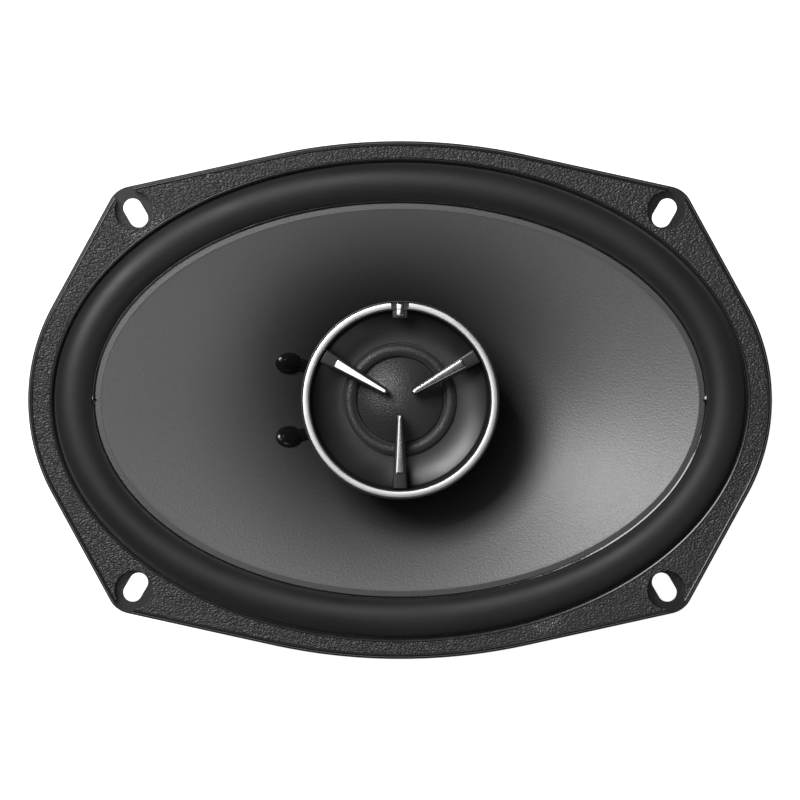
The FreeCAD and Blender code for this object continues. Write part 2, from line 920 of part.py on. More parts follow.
def tinsel_lead(name, side):
    """A braided lead in a loose loop from its terminal to the back of the cone."""
    points = [Vector(along, side * across, height) for along, across, height in LEAD_ROUTE]
    return tube(name, points, value("lead_radius"))


def tweeter_wire(name, side):
    """A wire from the board, down the magnet's side, along the back plate's groove and up the post."""
    points = [Vector(along, side * WIRE_SPREAD, height) for along, height in WIRE_ROUTE]
    return tube(name, points, value("wire_radius"), WIRE_BEND)


tinsel_lead_positive = tinsel_lead("tinsel_lead_positive", 1)
tinsel_lead_negative = tinsel_lead("tinsel_lead_negative", -1)
tweeter_wire_positive = tweeter_wire("tweeter_wire_positive", 1)
tweeter_wire_negative = tweeter_wire("tweeter_wire_negative", -1)

# ---------------------------------------------------------------- tweeter post, nut and housing

tweeter_post = turned(
    "tweeter_post",
    [
        ("post_bore_radius", "-post_spigot_depth"),
        ("post_thread_radius", "-post_spigot_depth"),
        ("post_thread_radius", "-pole_top_depth"),
        ("post_radius", "-pole_top_depth"),
        ("post_radius", "-housing_foot_depth - post_flange_thickness"),
        ("post_flange_radius", "-housing_foot_depth - post_flange_thickness"),
        ("post_flange_radius", "-housing_foot_depth"),
        ("post_thread_radius", "-housing_foot_depth"),
        ("post_thread_radius", "-post_top_depth"),
        ("post_bore_radius", "-post_top_depth"),
    ],
)

nut_blank = doc.addObject("Part::Prism", "nut_blank")
nut_blank.Polygon = 6
bind(
    nut_blank,
    Circumradius="nut_radius",
    Height="nut_height",
    Base_z="-housing_foot_depth + housing_wall",
)
nut_bore = drum(
    "nut_bore",
    "post_thread_radius + thread_gap",
    "-housing_foot_depth",
    "housing_wall + nut_height + overcut",
)
post_nut = cut("post_nut", nut_blank, nut_bore)

tweeter_housing = turned(
    "tweeter_housing",
    [
        ("post_thread_radius + thread_gap", "-housing_foot_depth"),
        ("housing_foot_radius", "-housing_foot_depth"),
        ("housing_radius", "housing_waist_height"),
        ("housing_radius", "housing_top"),
        ("housing_radius - housing_wall", "housing_top"),
        ("housing_radius - housing_wall", "housing_waist_height"),
        ("housing_foot_radius - housing_wall", "-housing_foot_depth + housing_wall"),
        ("yoke_radius - yoke_ledge", "-housing_foot_depth + housing_wall"),
        ("yoke_radius - yoke_ledge", "-yoke_seat_depth"),
        ("nut_radius + nut_room", "-yoke_seat_depth"),
        ("nut_radius + nut_room", "-housing_foot_depth + housing_wall"),
        ("post_thread_radius + thread_gap", "-housing_foot_depth + housing_wall"),
    ],
)

# ---------------------------------------------------------------- tweeter motor and diaphragm

tweeter_yoke = turned(
    "tweeter_yoke",
    [
        ("0", "-yoke_seat_depth"),
        ("yoke_radius", "-yoke_seat_depth"),
        ("yoke_radius", "yoke_top"),
        ("yoke_bore_radius", "yoke_top"),
        ("yoke_bore_radius", "-yoke_seat_depth + yoke_floor"),
        ("0", "-yoke_seat_depth + yoke_floor"),
    ],
)
tweeter_magnet = drum(
    "tweeter_magnet",
    "disc_magnet_radius",
    "-yoke_seat_depth + yoke_floor",
    "yoke_top - pole_disc_thickness + yoke_seat_depth - yoke_floor",
)
tweeter_pole_disc = drum(
    "tweeter_pole_disc",
    "pole_disc_radius",
    "yoke_top - pole_disc_thickness",
    "pole_disc_thickness",
)
diaphragm_ring = ring(
    "diaphragm_ring", "carrier_outer", "carrier_inner", "carrier_bottom", "dome_base"
)

DOME_EDGE_RISE = "sqrt(dome_sphere^2 - dome_radius^2)"
DOME_CREST = f"dome_base + dome_sphere - {DOME_EDGE_RISE}"
tweeter_dome = turned(
    "tweeter_dome",
    [
        ("0", f"{DOME_CREST} - dome_skin"),
        ("dome_radius", "dome_base - dome_skin"),
        ("dome_radius", "dome_base"),
        ("0", DOME_CREST),
    ],
    {0: "-dome_sphere", 2: "dome_sphere"},
)
tweeter_coil_former = ring(
    "tweeter_coil_former",
    "tweeter_coil_radius",
    "tweeter_coil_radius - tweeter_former_skin",
    "tweeter_coil_bottom",
    "dome_base - dome_skin",
)
tweeter_coil_winding = ring(
    "tweeter_coil_winding",
    "tweeter_coil_radius + tweeter_coil_skin",
    "tweeter_coil_radius",
    "tweeter_coil_bottom",
    "tweeter_coil_bottom + tweeter_winding_height",
)
tweeter_roll = turned(
    "tweeter_roll",
    [
        ("tweeter_roll_start", "dome_base"),
        ("tweeter_roll_inside", "dome_base"),
        ("tweeter_roll_foot", "dome_base"),
        ("tweeter_roll_foot", "dome_base + dome_skin"),
        ("tweeter_roll_outside", "dome_base + dome_skin"),
        ("tweeter_roll_start", "dome_base + dome_skin"),
    ],
    {0: "-tweeter_roll_under", 4: "tweeter_roll_over"},
)

# ---------------------------------------------------------------- bezel: bowl, ring groove and three fins

bezel_bowl = turned(
    "bezel_bowl",
    [
        ("bezel_throat_radius", "bezel_throat_height"),
        ("clip_inner", "bezel_throat_height"),
        ("clip_inner", "carrier_bottom"),
        ("clip_outer", "carrier_bottom"),
        ("housing_radius - housing_wall", "housing_top"),
        ("bezel_radius", "housing_top"),
        ("bezel_radius", "bezel_top - bezel_edge"),
        ("bezel_radius - bezel_edge", "bezel_top"),
        ("ring_outer_radius + ring_room", "bezel_top"),
        ("ring_outer_radius + ring_room", "ring_seat"),
        ("ring_inner_radius - ring_room", "ring_seat"),
        ("ring_inner_radius - ring_room", "bezel_top"),
        ("bowl_radius", "bezel_top"),
        ("bowl_step_radius", "bowl_step_height"),
    ],
    {13: "-bowl_curve"},
)

FIN_ANGLES = (30, 150, 270)


def fin_bars(name, base_radius, tip_radius, base_width, tip_width, bottom, height):
    """Three tapered bars pointing at the dome, with rounded tips."""
    bars = []
    for angle in FIN_ANGLES:
        bar = padded(
            f"{name}_{angle}",
            [
                (tip_radius, f"-{tip_width}/2"),
                (base_radius, f"-{base_width}/2"),
                (base_radius, f"{base_width}/2"),
                (tip_radius, f"{tip_width}/2"),
            ],
            bottom,
            height,
            {3: f"{tip_width} * tip_roundness"},
        )
        bar.Placement.Rotation = Rotation(Vector(0, 0, 1), angle)
        bars.append(bar)
    return group(name, bars)


fins = fin_bars(
    "fins",
    "fin_base_radius",
    "fin_tip_radius",
    "fin_base_width",
    "fin_tip_width",
    "fin_bottom",
    "ring_seat - fin_bottom",
)
mark_seat = block(
    "mark_seat",
    ("-mark_width", "mark_start - mark_margin", "fin_bottom"),
    ("2 * mark_width", "ring_inner_radius - mark_start + mark_margin", "ring_seat - fin_bottom"),
)
mark_room = block(
    "mark_room",
    ("-mark_width", "mark_start - mark_margin", "ring_seat"),
    ("2 * mark_width", "ring_outer_radius + ring_room - mark_start + mark_margin", "overcut"),
)
bezel_with_fins = joined("bezel_with_fins", [bezel_bowl, fins, mark_seat])
tweeter_bezel = cut("tweeter_bezel", bezel_with_fins, mark_room)

fin_inlays = fin_bars(
    "fin_inlays",
    "inlay_outer_radius",
    "fin_tip_radius",
    "inlay_base_width",
    "inlay_tip_width",
    "ring_seat",
    "inlay_height",
)

whole_ring = ring(
    "whole_ring", "ring_outer_radius", "ring_inner_radius", "ring_seat", "ring_seat + ring_height"
)
ring_opening = block(
    "ring_opening",
    ("-ring_gap/2", "0", "ring_seat"),
    ("ring_gap", "bezel_radius", "ring_height"),
)
bright_ring = cut("bright_ring", whole_ring, ring_opening)
index_mark = block(
    "index_mark",
    ("-mark_width/2", "mark_start", "ring_seat"),
    ("mark_width", "mark_length", "mark_height"),
)

# ---------------------------------------------------------------- checks and export

SUBPARTS = [
    basket,
    gasket,
    surround,
    cone,
    lead_glue_caps,
    voice_coil_former,
    voice_coil_winding,
    dust_ring,
    spider,
    front_plate,
    ferrite_magnet,
    back_plate_pole,
    motor_rivets,
    terminal_board,
    terminal_positive,
    terminal_negative,
    terminal_eyelets,
    board_rivets,
    crossover_capacitor,
    tinsel_lead_positive,
    tinsel_lead_negative,
    tweeter_wire_positive,
    tweeter_wire_negative,
    tweeter_post,
    post_nut,
    tweeter_housing,
    tweeter_yoke,
    tweeter_magnet,
    tweeter_pole_disc,
    diaphragm_ring,
    tweeter_dome,
    tweeter_coil_former,
    tweeter_coil_winding,
    tweeter_roll,
    tweeter_bezel,
    fin_inlays,
    bright_ring,
    index_mark,
]

doc.recompute()
failed = [item.Label for item in doc.Objects if {"Invalid", "Error"} & set(item.State)]
failed += [item.Label for item in SUBPARTS if item.Shape.isNull() or not item.Shape.isValid()]
if failed:
    raise RuntimeError("these objects failed: " + ", ".join(failed))

os.makedirs("parts", exist_ok=True)
for item in SUBPARTS:
    item.Shape.exportStep(os.path.join("parts", item.Label + ".step"))
    print(f"{item.Label}: {len(item.Shape.Solids)} solids, {item.Shape.Volume:.0f} mm3")
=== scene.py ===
"""Oval coaxial car speaker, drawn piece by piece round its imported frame.

Outlines and profiles are written in millimetres in the frame's own axes: Z = 0 is the rear face of
the flange, +Z points out of the cone and +X runs along the oval. Meshes are stored in metres.
"""

import bmesh
import bpy
import numpy as np
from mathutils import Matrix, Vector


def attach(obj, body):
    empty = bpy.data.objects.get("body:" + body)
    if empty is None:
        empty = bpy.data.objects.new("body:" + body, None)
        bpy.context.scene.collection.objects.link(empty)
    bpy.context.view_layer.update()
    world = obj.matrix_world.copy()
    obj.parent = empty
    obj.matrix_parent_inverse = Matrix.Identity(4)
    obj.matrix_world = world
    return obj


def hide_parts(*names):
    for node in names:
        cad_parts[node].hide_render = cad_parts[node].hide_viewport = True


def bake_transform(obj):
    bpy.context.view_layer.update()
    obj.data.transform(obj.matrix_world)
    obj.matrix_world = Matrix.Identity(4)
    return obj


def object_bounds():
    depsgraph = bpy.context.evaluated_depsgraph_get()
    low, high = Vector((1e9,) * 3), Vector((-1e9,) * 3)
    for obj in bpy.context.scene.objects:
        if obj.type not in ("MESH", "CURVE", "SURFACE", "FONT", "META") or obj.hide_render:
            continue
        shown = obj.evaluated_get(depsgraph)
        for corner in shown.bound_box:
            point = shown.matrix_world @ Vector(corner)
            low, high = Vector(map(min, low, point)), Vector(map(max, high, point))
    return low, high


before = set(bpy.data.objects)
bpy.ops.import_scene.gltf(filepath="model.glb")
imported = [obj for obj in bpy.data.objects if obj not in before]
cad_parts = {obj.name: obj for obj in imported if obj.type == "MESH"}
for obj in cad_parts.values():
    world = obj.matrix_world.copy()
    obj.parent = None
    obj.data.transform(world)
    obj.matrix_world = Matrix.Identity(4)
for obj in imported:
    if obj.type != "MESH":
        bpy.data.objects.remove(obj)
cad_box = [[float(number) for number in corner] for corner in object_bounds()]

# ------------------------------------------------------------------ camera, floor and studio light
# A long lens looks straight down the speaker's axis. The floor is a pale glowing board under the magnet.
# The key light is a soft box towards the upper left; a panel overhead and a low box opposite fill in.

MM = 0.001
VIEW_WIDTH = 254.8 * MM
CAMERA_HEIGHT = 1.9
SENSOR_WIDTH = 36.0

camera = bpy.data.objects.new("camera", bpy.data.cameras.new("camera"))
camera.data.sensor_width = SENSOR_WIDTH
camera.data.lens = SENSOR_WIDTH * CAMERA_HEIGHT / VIEW_WIDTH
camera.data.clip_end = 10.0
camera.location = (0, 0, CAMERA_HEIGHT)
bpy.context.collection.objects.link(camera)
bpy.context.scene.camera = camera


def soft_box(name, place, side, watts):
    """A square area light turned to face the middle of the mounting face."""
    lamp = bpy.data.lights.new(name, "AREA")
    lamp.shape = "SQUARE"
    lamp.size = side
    lamp.energy = watts
    box = bpy.data.objects.new(name, lamp)
    box.location = place
    box.rotation_euler = (-box.location).to_track_quat("-Z", "Y").to_euler()
    bpy.context.collection.objects.link(box)


soft_box("key_box", (-0.46, 0.5, 0.95), side=0.48, watts=11.5)
soft_box("overhead_panel", (-0.42, 0.2, 2.3), side=1.0, watts=4.5)
soft_box("low_box", (0.62, -0.62, 1.1), side=0.7, watts=1.2)


def node(tree, kind, sockets=None, **settings):
    """One shader node: settings are its own properties, sockets its input values or links."""
    made = tree.nodes.new("ShaderNode" + kind)
    for name, setting in settings.items():
        setattr(made, name, setting)
    for name, given in (sockets or {}).items():
        if isinstance(given, bpy.types.NodeSocket):
            tree.links.new(given, made.inputs[name])
        else:
            made.inputs[name].default_value = given
    return made


# The backdrop is bright to the camera and nearly dark to everything that it would light.
FILL_LIGHT = 0.03
BACKDROP = 0.85
world = bpy.data.worlds.new("studio")
world.use_nodes = True
studio = world.node_tree.nodes["Background"]
studio.inputs["Color"].default_value = (1, 1, 1, 1)
camera_ray = node(world.node_tree, "LightPath").outputs["Is Camera Ray"]
glow = node(
    world.node_tree, "MapRange", {"Value": camera_ray, "To Min": FILL_LIGHT, "To Max": BACKDROP}
)
world.node_tree.links.new(glow.outputs["Result"], studio.inputs["Strength"])
bpy.context.scene.world = world
bpy.context.scene.view_settings.view_transform = "Standard"

FLOOR_REACH = 6.0
FLOOR_TONE = 0.9
FLOOR_GLOW = 0.93
floor_mesh = bpy.data.meshes.new("floor")
floor_corners = [
    (FLOOR_REACH * along, FLOOR_REACH * across, cad_box[0][2])
    for along, across in ((-1, -1), (1, -1), (1, 1), (-1, 1))
]
floor_mesh.from_pydata(floor_corners, [], [(0, 1, 2, 3)])
floor = bpy.data.objects.new("floor", floor_mesh)
bpy.context.collection.objects.link(floor)
pale = bpy.data.materials.new("pale_floor")
pale.use_nodes = True
pale_skin = pale.node_tree.nodes["Principled BSDF"]
pale_skin.inputs["Base Color"].default_value = (FLOOR_TONE, FLOOR_TONE, FLOOR_TONE, 1)
pale_skin.inputs["Roughness"].default_value = 0.9
pale_skin.inputs["Emission Color"].default_value = (1, 1, 1, 1)
pale_skin.inputs["Emission Strength"].default_value = FLOOR_GLOW
open_below = node(
    pale.node_tree,
    "MixShader",
    {
        0: node(pale.node_tree, "NewGeometry").outputs["Backfacing"],
        1: pale_skin.outputs["BSDF"],
        2: node(pale.node_tree, "BsdfTransparent").outputs["BSDF"],
    },
)
pale.node_tree.links.new(
    open_below.outputs["Shader"], pale.node_tree.nodes["Material Output"].inputs["Surface"]
)
floor_mesh.materials.append(pale)

# ------------------------------------------------------------------ tinsel leads
# Two braided copper leads loop from the terminals to the back of the cone. They are soldered at the
# terminal and glued at the cone, and hang free between so that the cone can travel.


def oval_grid(path, columns=256, start=0.0, turn=2 * np.pi, closed=True):
    """Rows of (half length, half width, height) carried round: x = a cos t, y = b sin t, z = height."""
    t = start + np.linspace(0, turn, columns, endpoint=not closed)
    a, b, z = np.asarray(path, float).T[:, :, None]
    return np.stack([a * np.cos(t), b * np.sin(t), z + 0 * t], axis=-1)


def turned_grid(profile, columns=128):
    """A profile of (radius, height) turned about the axis."""
    radius, height = np.asarray(profile, float).T
    return oval_grid(np.stack([radius, radius, height], axis=1), columns)


def grid_faces(rows, columns, round_rows=False, round_columns=True):
    """The quads of a grid of points, joined up in either direction where it closes on itself."""
    row = np.arange(rows if round_rows else rows - 1)[:, None]
    column = np.arange(columns if round_columns else columns - 1)[None, :]
    row_after, column_after = (row + 1) % rows, (column + 1) % columns
    quads = [
        row * columns + column,
        row * columns + column_after,
        row_after * columns + column_after,
        row_after * columns + column,
    ]
    return np.stack(quads, axis=-1).reshape(-1, 4)


def sheet_part(grid, round_rows=False, round_columns=True, capped=False):
    """Points and faces of one grid; capped closes its first and last row with a face each."""
    rows, columns = grid.shape[:2]
    faces = grid_faces(rows, columns, round_rows, round_columns).tolist()
    if capped:
        faces.append(list(range(columns)))
        faces.append(list(range((rows - 1) * columns, rows * columns))[::-1])
    return grid.reshape(-1, 3), faces


def build(name, parts, crease=35.0):
    """A mesh object in metres from several parts, with doubles merged and faces turned outwards."""
    points, faces, count = [], [], 0
    for part_points, part_faces in parts:
        points.append(part_points)
        faces += [[count + corner for corner in face] for face in part_faces]
        count += len(part_points)
    mesh = bpy.data.meshes.new(name)
    mesh.from_pydata((np.concatenate(points) * MM).tolist(), [], faces)
    piece = bpy.data.objects.new(name, mesh)
    bpy.context.collection.objects.link(piece)
    tidy_mesh(mesh, crease)
    return piece


def turned(name, profile, columns=128, crease=35.0):
    """A piece made by turning one closed profile of (radius, height) about the axis."""
    return build(name, [sheet_part(turned_grid(profile, columns), round_rows=True)], crease)


def tidy_mesh(mesh, crease):
    """Merges doubles, turns faces outwards and shades smooth except at edges sharper than crease."""
    work = bmesh.new()
    work.from_mesh(mesh)
    bmesh.ops.remove_doubles(work, verts=work.verts, dist=2e-7)
    bmesh.ops.recalc_face_normals(work, faces=work.faces)
    work.to_mesh(mesh)
    work.free()
    mesh.shade_smooth()
    mesh.set_sharp_from_angle(angle=np.radians(crease))
    mesh.update()


def fit(piece, body, slot, finish, *replaced):
    """Puts a finished piece on its body with its finish, in place of the frame's plain solids."""
    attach(piece, body)
    dress(piece, slot, finish, *replaced)


def dress(piece, slot, finish, *replaced):
    """Gives a piece its finish, and hides the plain solids that it stands for; slot is not used."""
    if replaced:
        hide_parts(*replaced)
    piece.data.materials.clear()
    piece.data.materials.append(finish)


CORNER_SHARE = 0.45


def soften(corners, radius, steps=5, closed=True):
    """Rounds a path's corners: each becomes a parabola from a point radius before it to one after it.

    A parabola takes at most CORNER_SHARE of the straight on either side.
    """
    corners = np.asarray(corners, float)
    radius = np.broadcast_to(radius, len(corners))[:, None]
    before, after = np.roll(corners, 1, axis=0), np.roll(corners, -1, axis=0)
    in_run, out_run = before - corners, after - corners
    in_length = np.linalg.norm(in_run, axis=1, keepdims=True)
    out_length = np.linalg.norm(out_run, axis=1, keepdims=True)
    first = corners + in_run * np.minimum(radius / in_length, CORNER_SHARE)
    last = corners + out_run * np.minimum(radius / out_length, CORNER_SHARE)
    share = np.linspace(0, 1, steps + 1)[None, :, None]
    curve = (
        first[:, None] * (1 - share) ** 2
        + corners[:, None] * 2 * share * (1 - share)
        + last[:, None] * share**2
    )
    if closed:
        return curve.reshape(-1, corners.shape[1])
    inner = curve[1:-1].reshape(-1, corners.shape[1])
    return np.concatenate([corners[:1], inner, corners[-1:]])


def tube_grid(path, reach, columns=16, up=(0, 1, 0)):
    """Rings about a path: each point plus reach times (side cos t + rise sin t); reach may vary."""
    path = np.asarray(path, float)
    along = np.gradient(path, axis=0)
    along /= np.linalg.norm(along, axis=1, keepdims=True)
    side = np.cross(along, up)
    side /= np.linalg.norm(side, axis=1, keepdims=True)
    rise = np.cross(side, along)
    t = np.linspace(0, 2 * np.pi, columns, endpoint=False)[None, :, None]
    reach = np.broadcast_to(reach, (len(path), columns))[:, :, None]
    return path[:, None] + reach * (side[:, None] * np.cos(t) + rise[:, None] * np.sin(t))


def new_group(name, inputs, outputs):
    """A shader node group with its sockets; returns the group, its input node and its output node."""
    tree = bpy.data.node_groups.new(name, "ShaderNodeTree")
    for label, kind, start in inputs:
        socket = tree.interface.new_socket(label, in_out="INPUT", socket_type="NodeSocket" + kind)
        socket.default_value = start
    for label, kind in outputs:
        tree.interface.new_socket(label, in_out="OUTPUT", socket_type="NodeSocket" + kind)
    return tree, tree.nodes.new("NodeGroupInput"), tree.nodes.new("NodeGroupOutput")


# Grain: a fine pebble or tooth from noise, and a slow mottle that shades colour and roughness.
grain_group, grain_in, grain_out = new_group(
    "grain",
    [("Scale", "Float", 1000.0), ("Depth", "Float", 0.0001), ("Slow Scale", "Float", 60.0)],
    [("Mottle", "Float"), ("Normal", "Vector")],
)
grain_place = node(grain_group, "TexCoord").outputs["Object"]
fine, slow = (
    node(
        grain_group,
        "TexNoise",
        {"Vector": grain_place, "Scale": grain_in.outputs[scale], "Detail": detail},
    ).outputs["Fac"]
    for scale, detail in (("Scale", 3.0), ("Slow Scale", 4.0))
)
grain_lift = node(grain_group, "Bump", {"Height": fine, "Distance": grain_in.outputs["Depth"]})
grain_group.links.new(slow, grain_out.inputs["Mottle"])
grain_group.links.new(grain_lift.outputs["Normal"], grain_out.inputs["Normal"])

# Wear: corners that handling has polished, from how sharply the surface turns, broken up by noise.
wear_group, wear_in, wear_out = new_group(
    "wear", [("Start", "Float", 0.52), ("Full", "Float", 0.62)], [("Mask", "Float")]
)
sharpness = node(wear_group, "NewGeometry").outputs["Pointiness"]
rub = node(
    wear_group,
    "TexNoise",
    {"Vector": node(wear_group, "TexCoord").outputs["Object"], "Scale": 420.0, "Detail": 5.0},
)
edge = node(
    wear_group,
    "MapRange",
    {
        "Value": sharpness,
        "From Min": wear_in.outputs["Start"],
        "From Max": wear_in.outputs["Full"],
    },
)
broken = node(
    wear_group, "Math", {0: edge.outputs["Result"], 1: rub.outputs["Fac"]}, operation="MULTIPLY"
)
wear_group.links.new(broken.outputs[0], wear_out.inputs["Mask"])


def mix_colours(tree, share, first, second):
    """The colour between two others by a share; each may be a colour or another node's output."""
    mixer = node(tree, "Mix", data_type="RGBA")
    for socket, given_colour in ((mixer.inputs[6], first), (mixer.inputs[7], second)):
        if isinstance(given_colour, bpy.types.NodeSocket):
            tree.links.new(given_colour, socket)
        else:
            socket.default_value = given_colour
    tree.links.new(share, mixer.inputs[0])
    return mixer.outputs[2]


POLISHED = 0.2
ROUGHNESS_SPREAD = 0.15


def finish_of(
    name,
    colour,
    roughness,
    metallic=0.0,
    grain=(900.0, 0.00005),
    slow=60.0,
    mottle=0.25,
    worn=None,
    wear=(0.53, 0.66),
    **shader,
):
    """A finish: colour and roughness follow the slow mottle, grain lifts it, and edges wear and shine.

    grain is (scale, depth in metres), worn the colour of a worn edge and wear where its mask starts
    and ends; further names are sockets of the shader.
    """
    skin = bpy.data.materials.new(name)
    skin.use_nodes = True
    tree = skin.node_tree
    surface = tree.nodes["Principled BSDF"]
    for socket, setting in shader.items():
        surface.inputs[socket.replace("_", " ")].default_value = setting
    surface.inputs["Metallic"].default_value = metallic
    detail = node(
        tree,
        "Group",
        node_tree=grain_group,
        sockets={"Scale": grain[0], "Depth": grain[1], "Slow Scale": slow},
    )
    dark = [tone * (1 - mottle) for tone in colour] + [1]
    light = [min(1.0, tone * (1 + mottle)) for tone in colour] + [1]
    shade = mix_colours(tree, detail.outputs["Mottle"], dark, light)
    rough = node(
        tree,
        "MapRange",
        {
            "Value": detail.outputs["Mottle"],
            "From Min": 0.3,
            "From Max": 0.7,
            "To Min": roughness * (1 - ROUGHNESS_SPREAD),
            "To Max": min(1.0, roughness * (1 + ROUGHNESS_SPREAD)),
        },
    ).outputs["Result"]
    if worn:
        rubbed = node(tree, "Group", {"Start": wear[0], "Full": wear[1]}, node_tree=wear_group)
        shade = mix_colours(tree, rubbed.outputs["Mask"], shade, [*worn, 1])
        rough = node(
            tree,
            "MapRange",
            {"Value": rubbed.outputs["Mask"], "From Max": 0.4, "To Min": rough, "To Max": POLISHED},
        ).outputs["Result"]
    tree.links.new(shade, surface.inputs["Base Color"])
    tree.links.new(rough, surface.inputs["Roughness"])
    tree.links.new(detail.outputs["Normal"], surface.inputs["Normal"])
    return skin


LEAD_ROUTE = [
    # control points in mm, from the terminal to the back of the cone
    (-66.0, 9.0, -36.6),
    (-68.5, 9.4, -29.0),
    (-61.0, 10.4, -22.8),
    (-51.5, 11.4, -24.4),
    (-43.2, 11.9, -28.0),
    (-37.2, 11.8, -17.2),
]
LEAD_RADIUS = 0.8
LEAD_LENGTH = 0.0455
LEAD_RINGS = 420
LEAD_COLUMNS = 40
STRANDS = 5
BRAID_TWIST = 2.2
BRAID_RELIEF = 0.1

tinsel = finish_of(
    "tinsel_braid",
    (0.62, 0.36, 0.2),
    roughness=0.34,
    metallic=1.0,
    grain=(3000.0, 0.00001),
    slow=900.0,
)


def route_line(name, route):
    """Points along the smooth spline whose control points are the route."""
    curve = bpy.data.curves.new(name, "CURVE")
    curve.dimensions = "3D"
    curve.resolution_u = 12
    spline = curve.splines.new("NURBS")
    spline.points.add(len(route) - 1)
    for point, spot in zip(spline.points, route):
        point.co = (*spot, 1)
    spline.order_u = 3
    spline.use_endpoint_u = True
    holder = bpy.data.objects.new(name, curve)
    bpy.context.collection.objects.link(holder)
    line = bpy.data.meshes.new_from_object(holder)
    points = np.empty(len(line.vertices) * 3)
    line.vertices.foreach_get("co", points)
    bpy.data.objects.remove(holder)
    bpy.data.meshes.remove(line)
    return points.reshape(-1, 3)


def even_line(points, count):
    """The same line as points at even distances along it."""
    steps = np.linalg.norm(np.diff(points, axis=0), axis=1)
    walked = np.concatenate([[0], np.cumsum(steps)])
    wanted = np.linspace(0, walked[-1], count)
    return np.stack([np.interp(wanted, walked, column) for column in points.T], axis=1)


for sign, name in ((1, "tinsel_lead_positive"), (-1, "tinsel_lead_negative")):
    route = [(along, sign * across, height) for along, across, height in LEAD_ROUTE]
    line = even_line(route_line(name + "_route", route), LEAD_RINGS)
    walked = np.linspace(0, LEAD_LENGTH / MM, LEAD_RINGS)[:, None]
    around = np.linspace(0, 2 * np.pi, LEAD_COLUMNS, endpoint=False)[None, :]
    crossing = np.maximum(
        np.sin(STRANDS * around + BRAID_TWIST * walked),
        np.sin(STRANDS * around - BRAID_TWIST * walked),
    )
    reach = LEAD_RADIUS * (1 - BRAID_RELIEF + BRAID_RELIEF * crossing)
    braid = tube_grid(line, reach, LEAD_COLUMNS)
    lead = build(name + "_braid", [sheet_part(braid, capped=True)], 60.0)
    dress(lead, "tinsel", tinsel, name)
    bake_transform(lead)

# ------------------------------------------------------------------ basket
# One sheet of steel, drawn into an oval tray: flange, wall, sloping arms between six windows, the
# spider's landing and a cup that the motor is riveted to. Punched, trimmed and painted black.

FLANGE_ARCS = [
    # centre along X, centre along Y, radius, first and last direction in degrees
    (56.3, 0.0, 62.2, 0.0, 28.6),
    (84.92, 59.65, 8.5, 28.6, 77.6),
    (0.0, -106.3, 188.8, 77.6, 90.0),
]
ARC_STEPS = (14, 12, 22)
OUTLINE_STEP = 2.2
SHEET = 1.2


def flange_loop(inset=0.0):
    """The flange's outline: arcs of centre plus (radius - inset) times direction, and straights.

    One quarter is worked out, its straights are split into steps of OUTLINE_STEP, and it is mirrored.
    """
    quarter = []
    for (x, y, radius, first, last), steps in zip(FLANGE_ARCS, ARC_STEPS):
        angle = np.radians(np.linspace(first, last, steps))
        reach = radius - inset
        quarter.append(np.stack([x + reach * np.cos(angle), y + reach * np.sin(angle)], axis=1))
    quarter = np.concatenate(quarter)
    runs = np.diff(quarter, axis=0)
    steps_in_run = np.maximum(1, (np.linalg.norm(runs, axis=1) / OUTLINE_STEP).astype(int))
    run = np.repeat(np.arange(len(runs)), steps_in_run)
    step = np.arange(len(run)) - np.searchsorted(run, run)
    share = (step / steps_in_run[run])[:, None]
    quarter = np.concatenate([quarter[run] + share * runs[run], quarter[-1:]])
    left = quarter[::-1][1:] * (-1, 1)
    top = np.concatenate([quarter, left])
    return np.concatenate([top, top[::-1][1:-1] * (1, -1)])


def oval_loop(half_length, half_width, like):
    """An ellipse with one point for each point of another loop, in the same directions."""
    t = np.arctan2(like[:, 1] / half_width, like[:, 0] / half_length)
    return np.stack([half_length * np.cos(t), half_width * np.sin(t)], axis=1)


def raised(loop, height):
    """A flat loop lifted to a height."""
    return np.column_stack([loop, np.full(len(loop), float(height))])


def settle(piece, crease=35.0):
    """Makes the result of the piece's modifiers its own mesh."""
    graph = bpy.context.evaluated_depsgraph_get()
    mesh = bpy.data.meshes.new_from_object(piece.evaluated_get(graph))
    piece.modifiers.clear()
    piece.data = mesh
    tidy_mesh(mesh, crease)


def prism(name, loop, low, high):
    """A straight-sided punch: a flat loop carried up from one height to another."""
    return build(name, [sheet_part(np.array([raised(loop, low), raised(loop, high)]), capped=True)])


def punch(piece, cutters):
    """Cuts the cutters' shapes out of a piece and removes them."""
    for cutter in cutters:
        hole = piece.modifiers.new(cutter.name, "BOOLEAN")
        hole.operation = "DIFFERENCE"
        hole.solver = "EXACT"
        hole.object = cutter
        settle(piece)
        bpy.data.objects.remove(cutter)


def ease_edges(piece, width, segments=2, angle=38.0):
    """Rounds sharp edges by a small bevel; normals go by face area, so that flat faces look flat."""
    bevel = piece.modifiers.new("eased", "BEVEL")
    bevel.width = width * MM
    bevel.segments = segments
    bevel.limit_method = "ANGLE"
    bevel.angle_limit = np.radians(angle)
    settle(piece)
    piece.modifiers.new("flat_faces", "WEIGHTED_NORMAL").keep_sharp = True


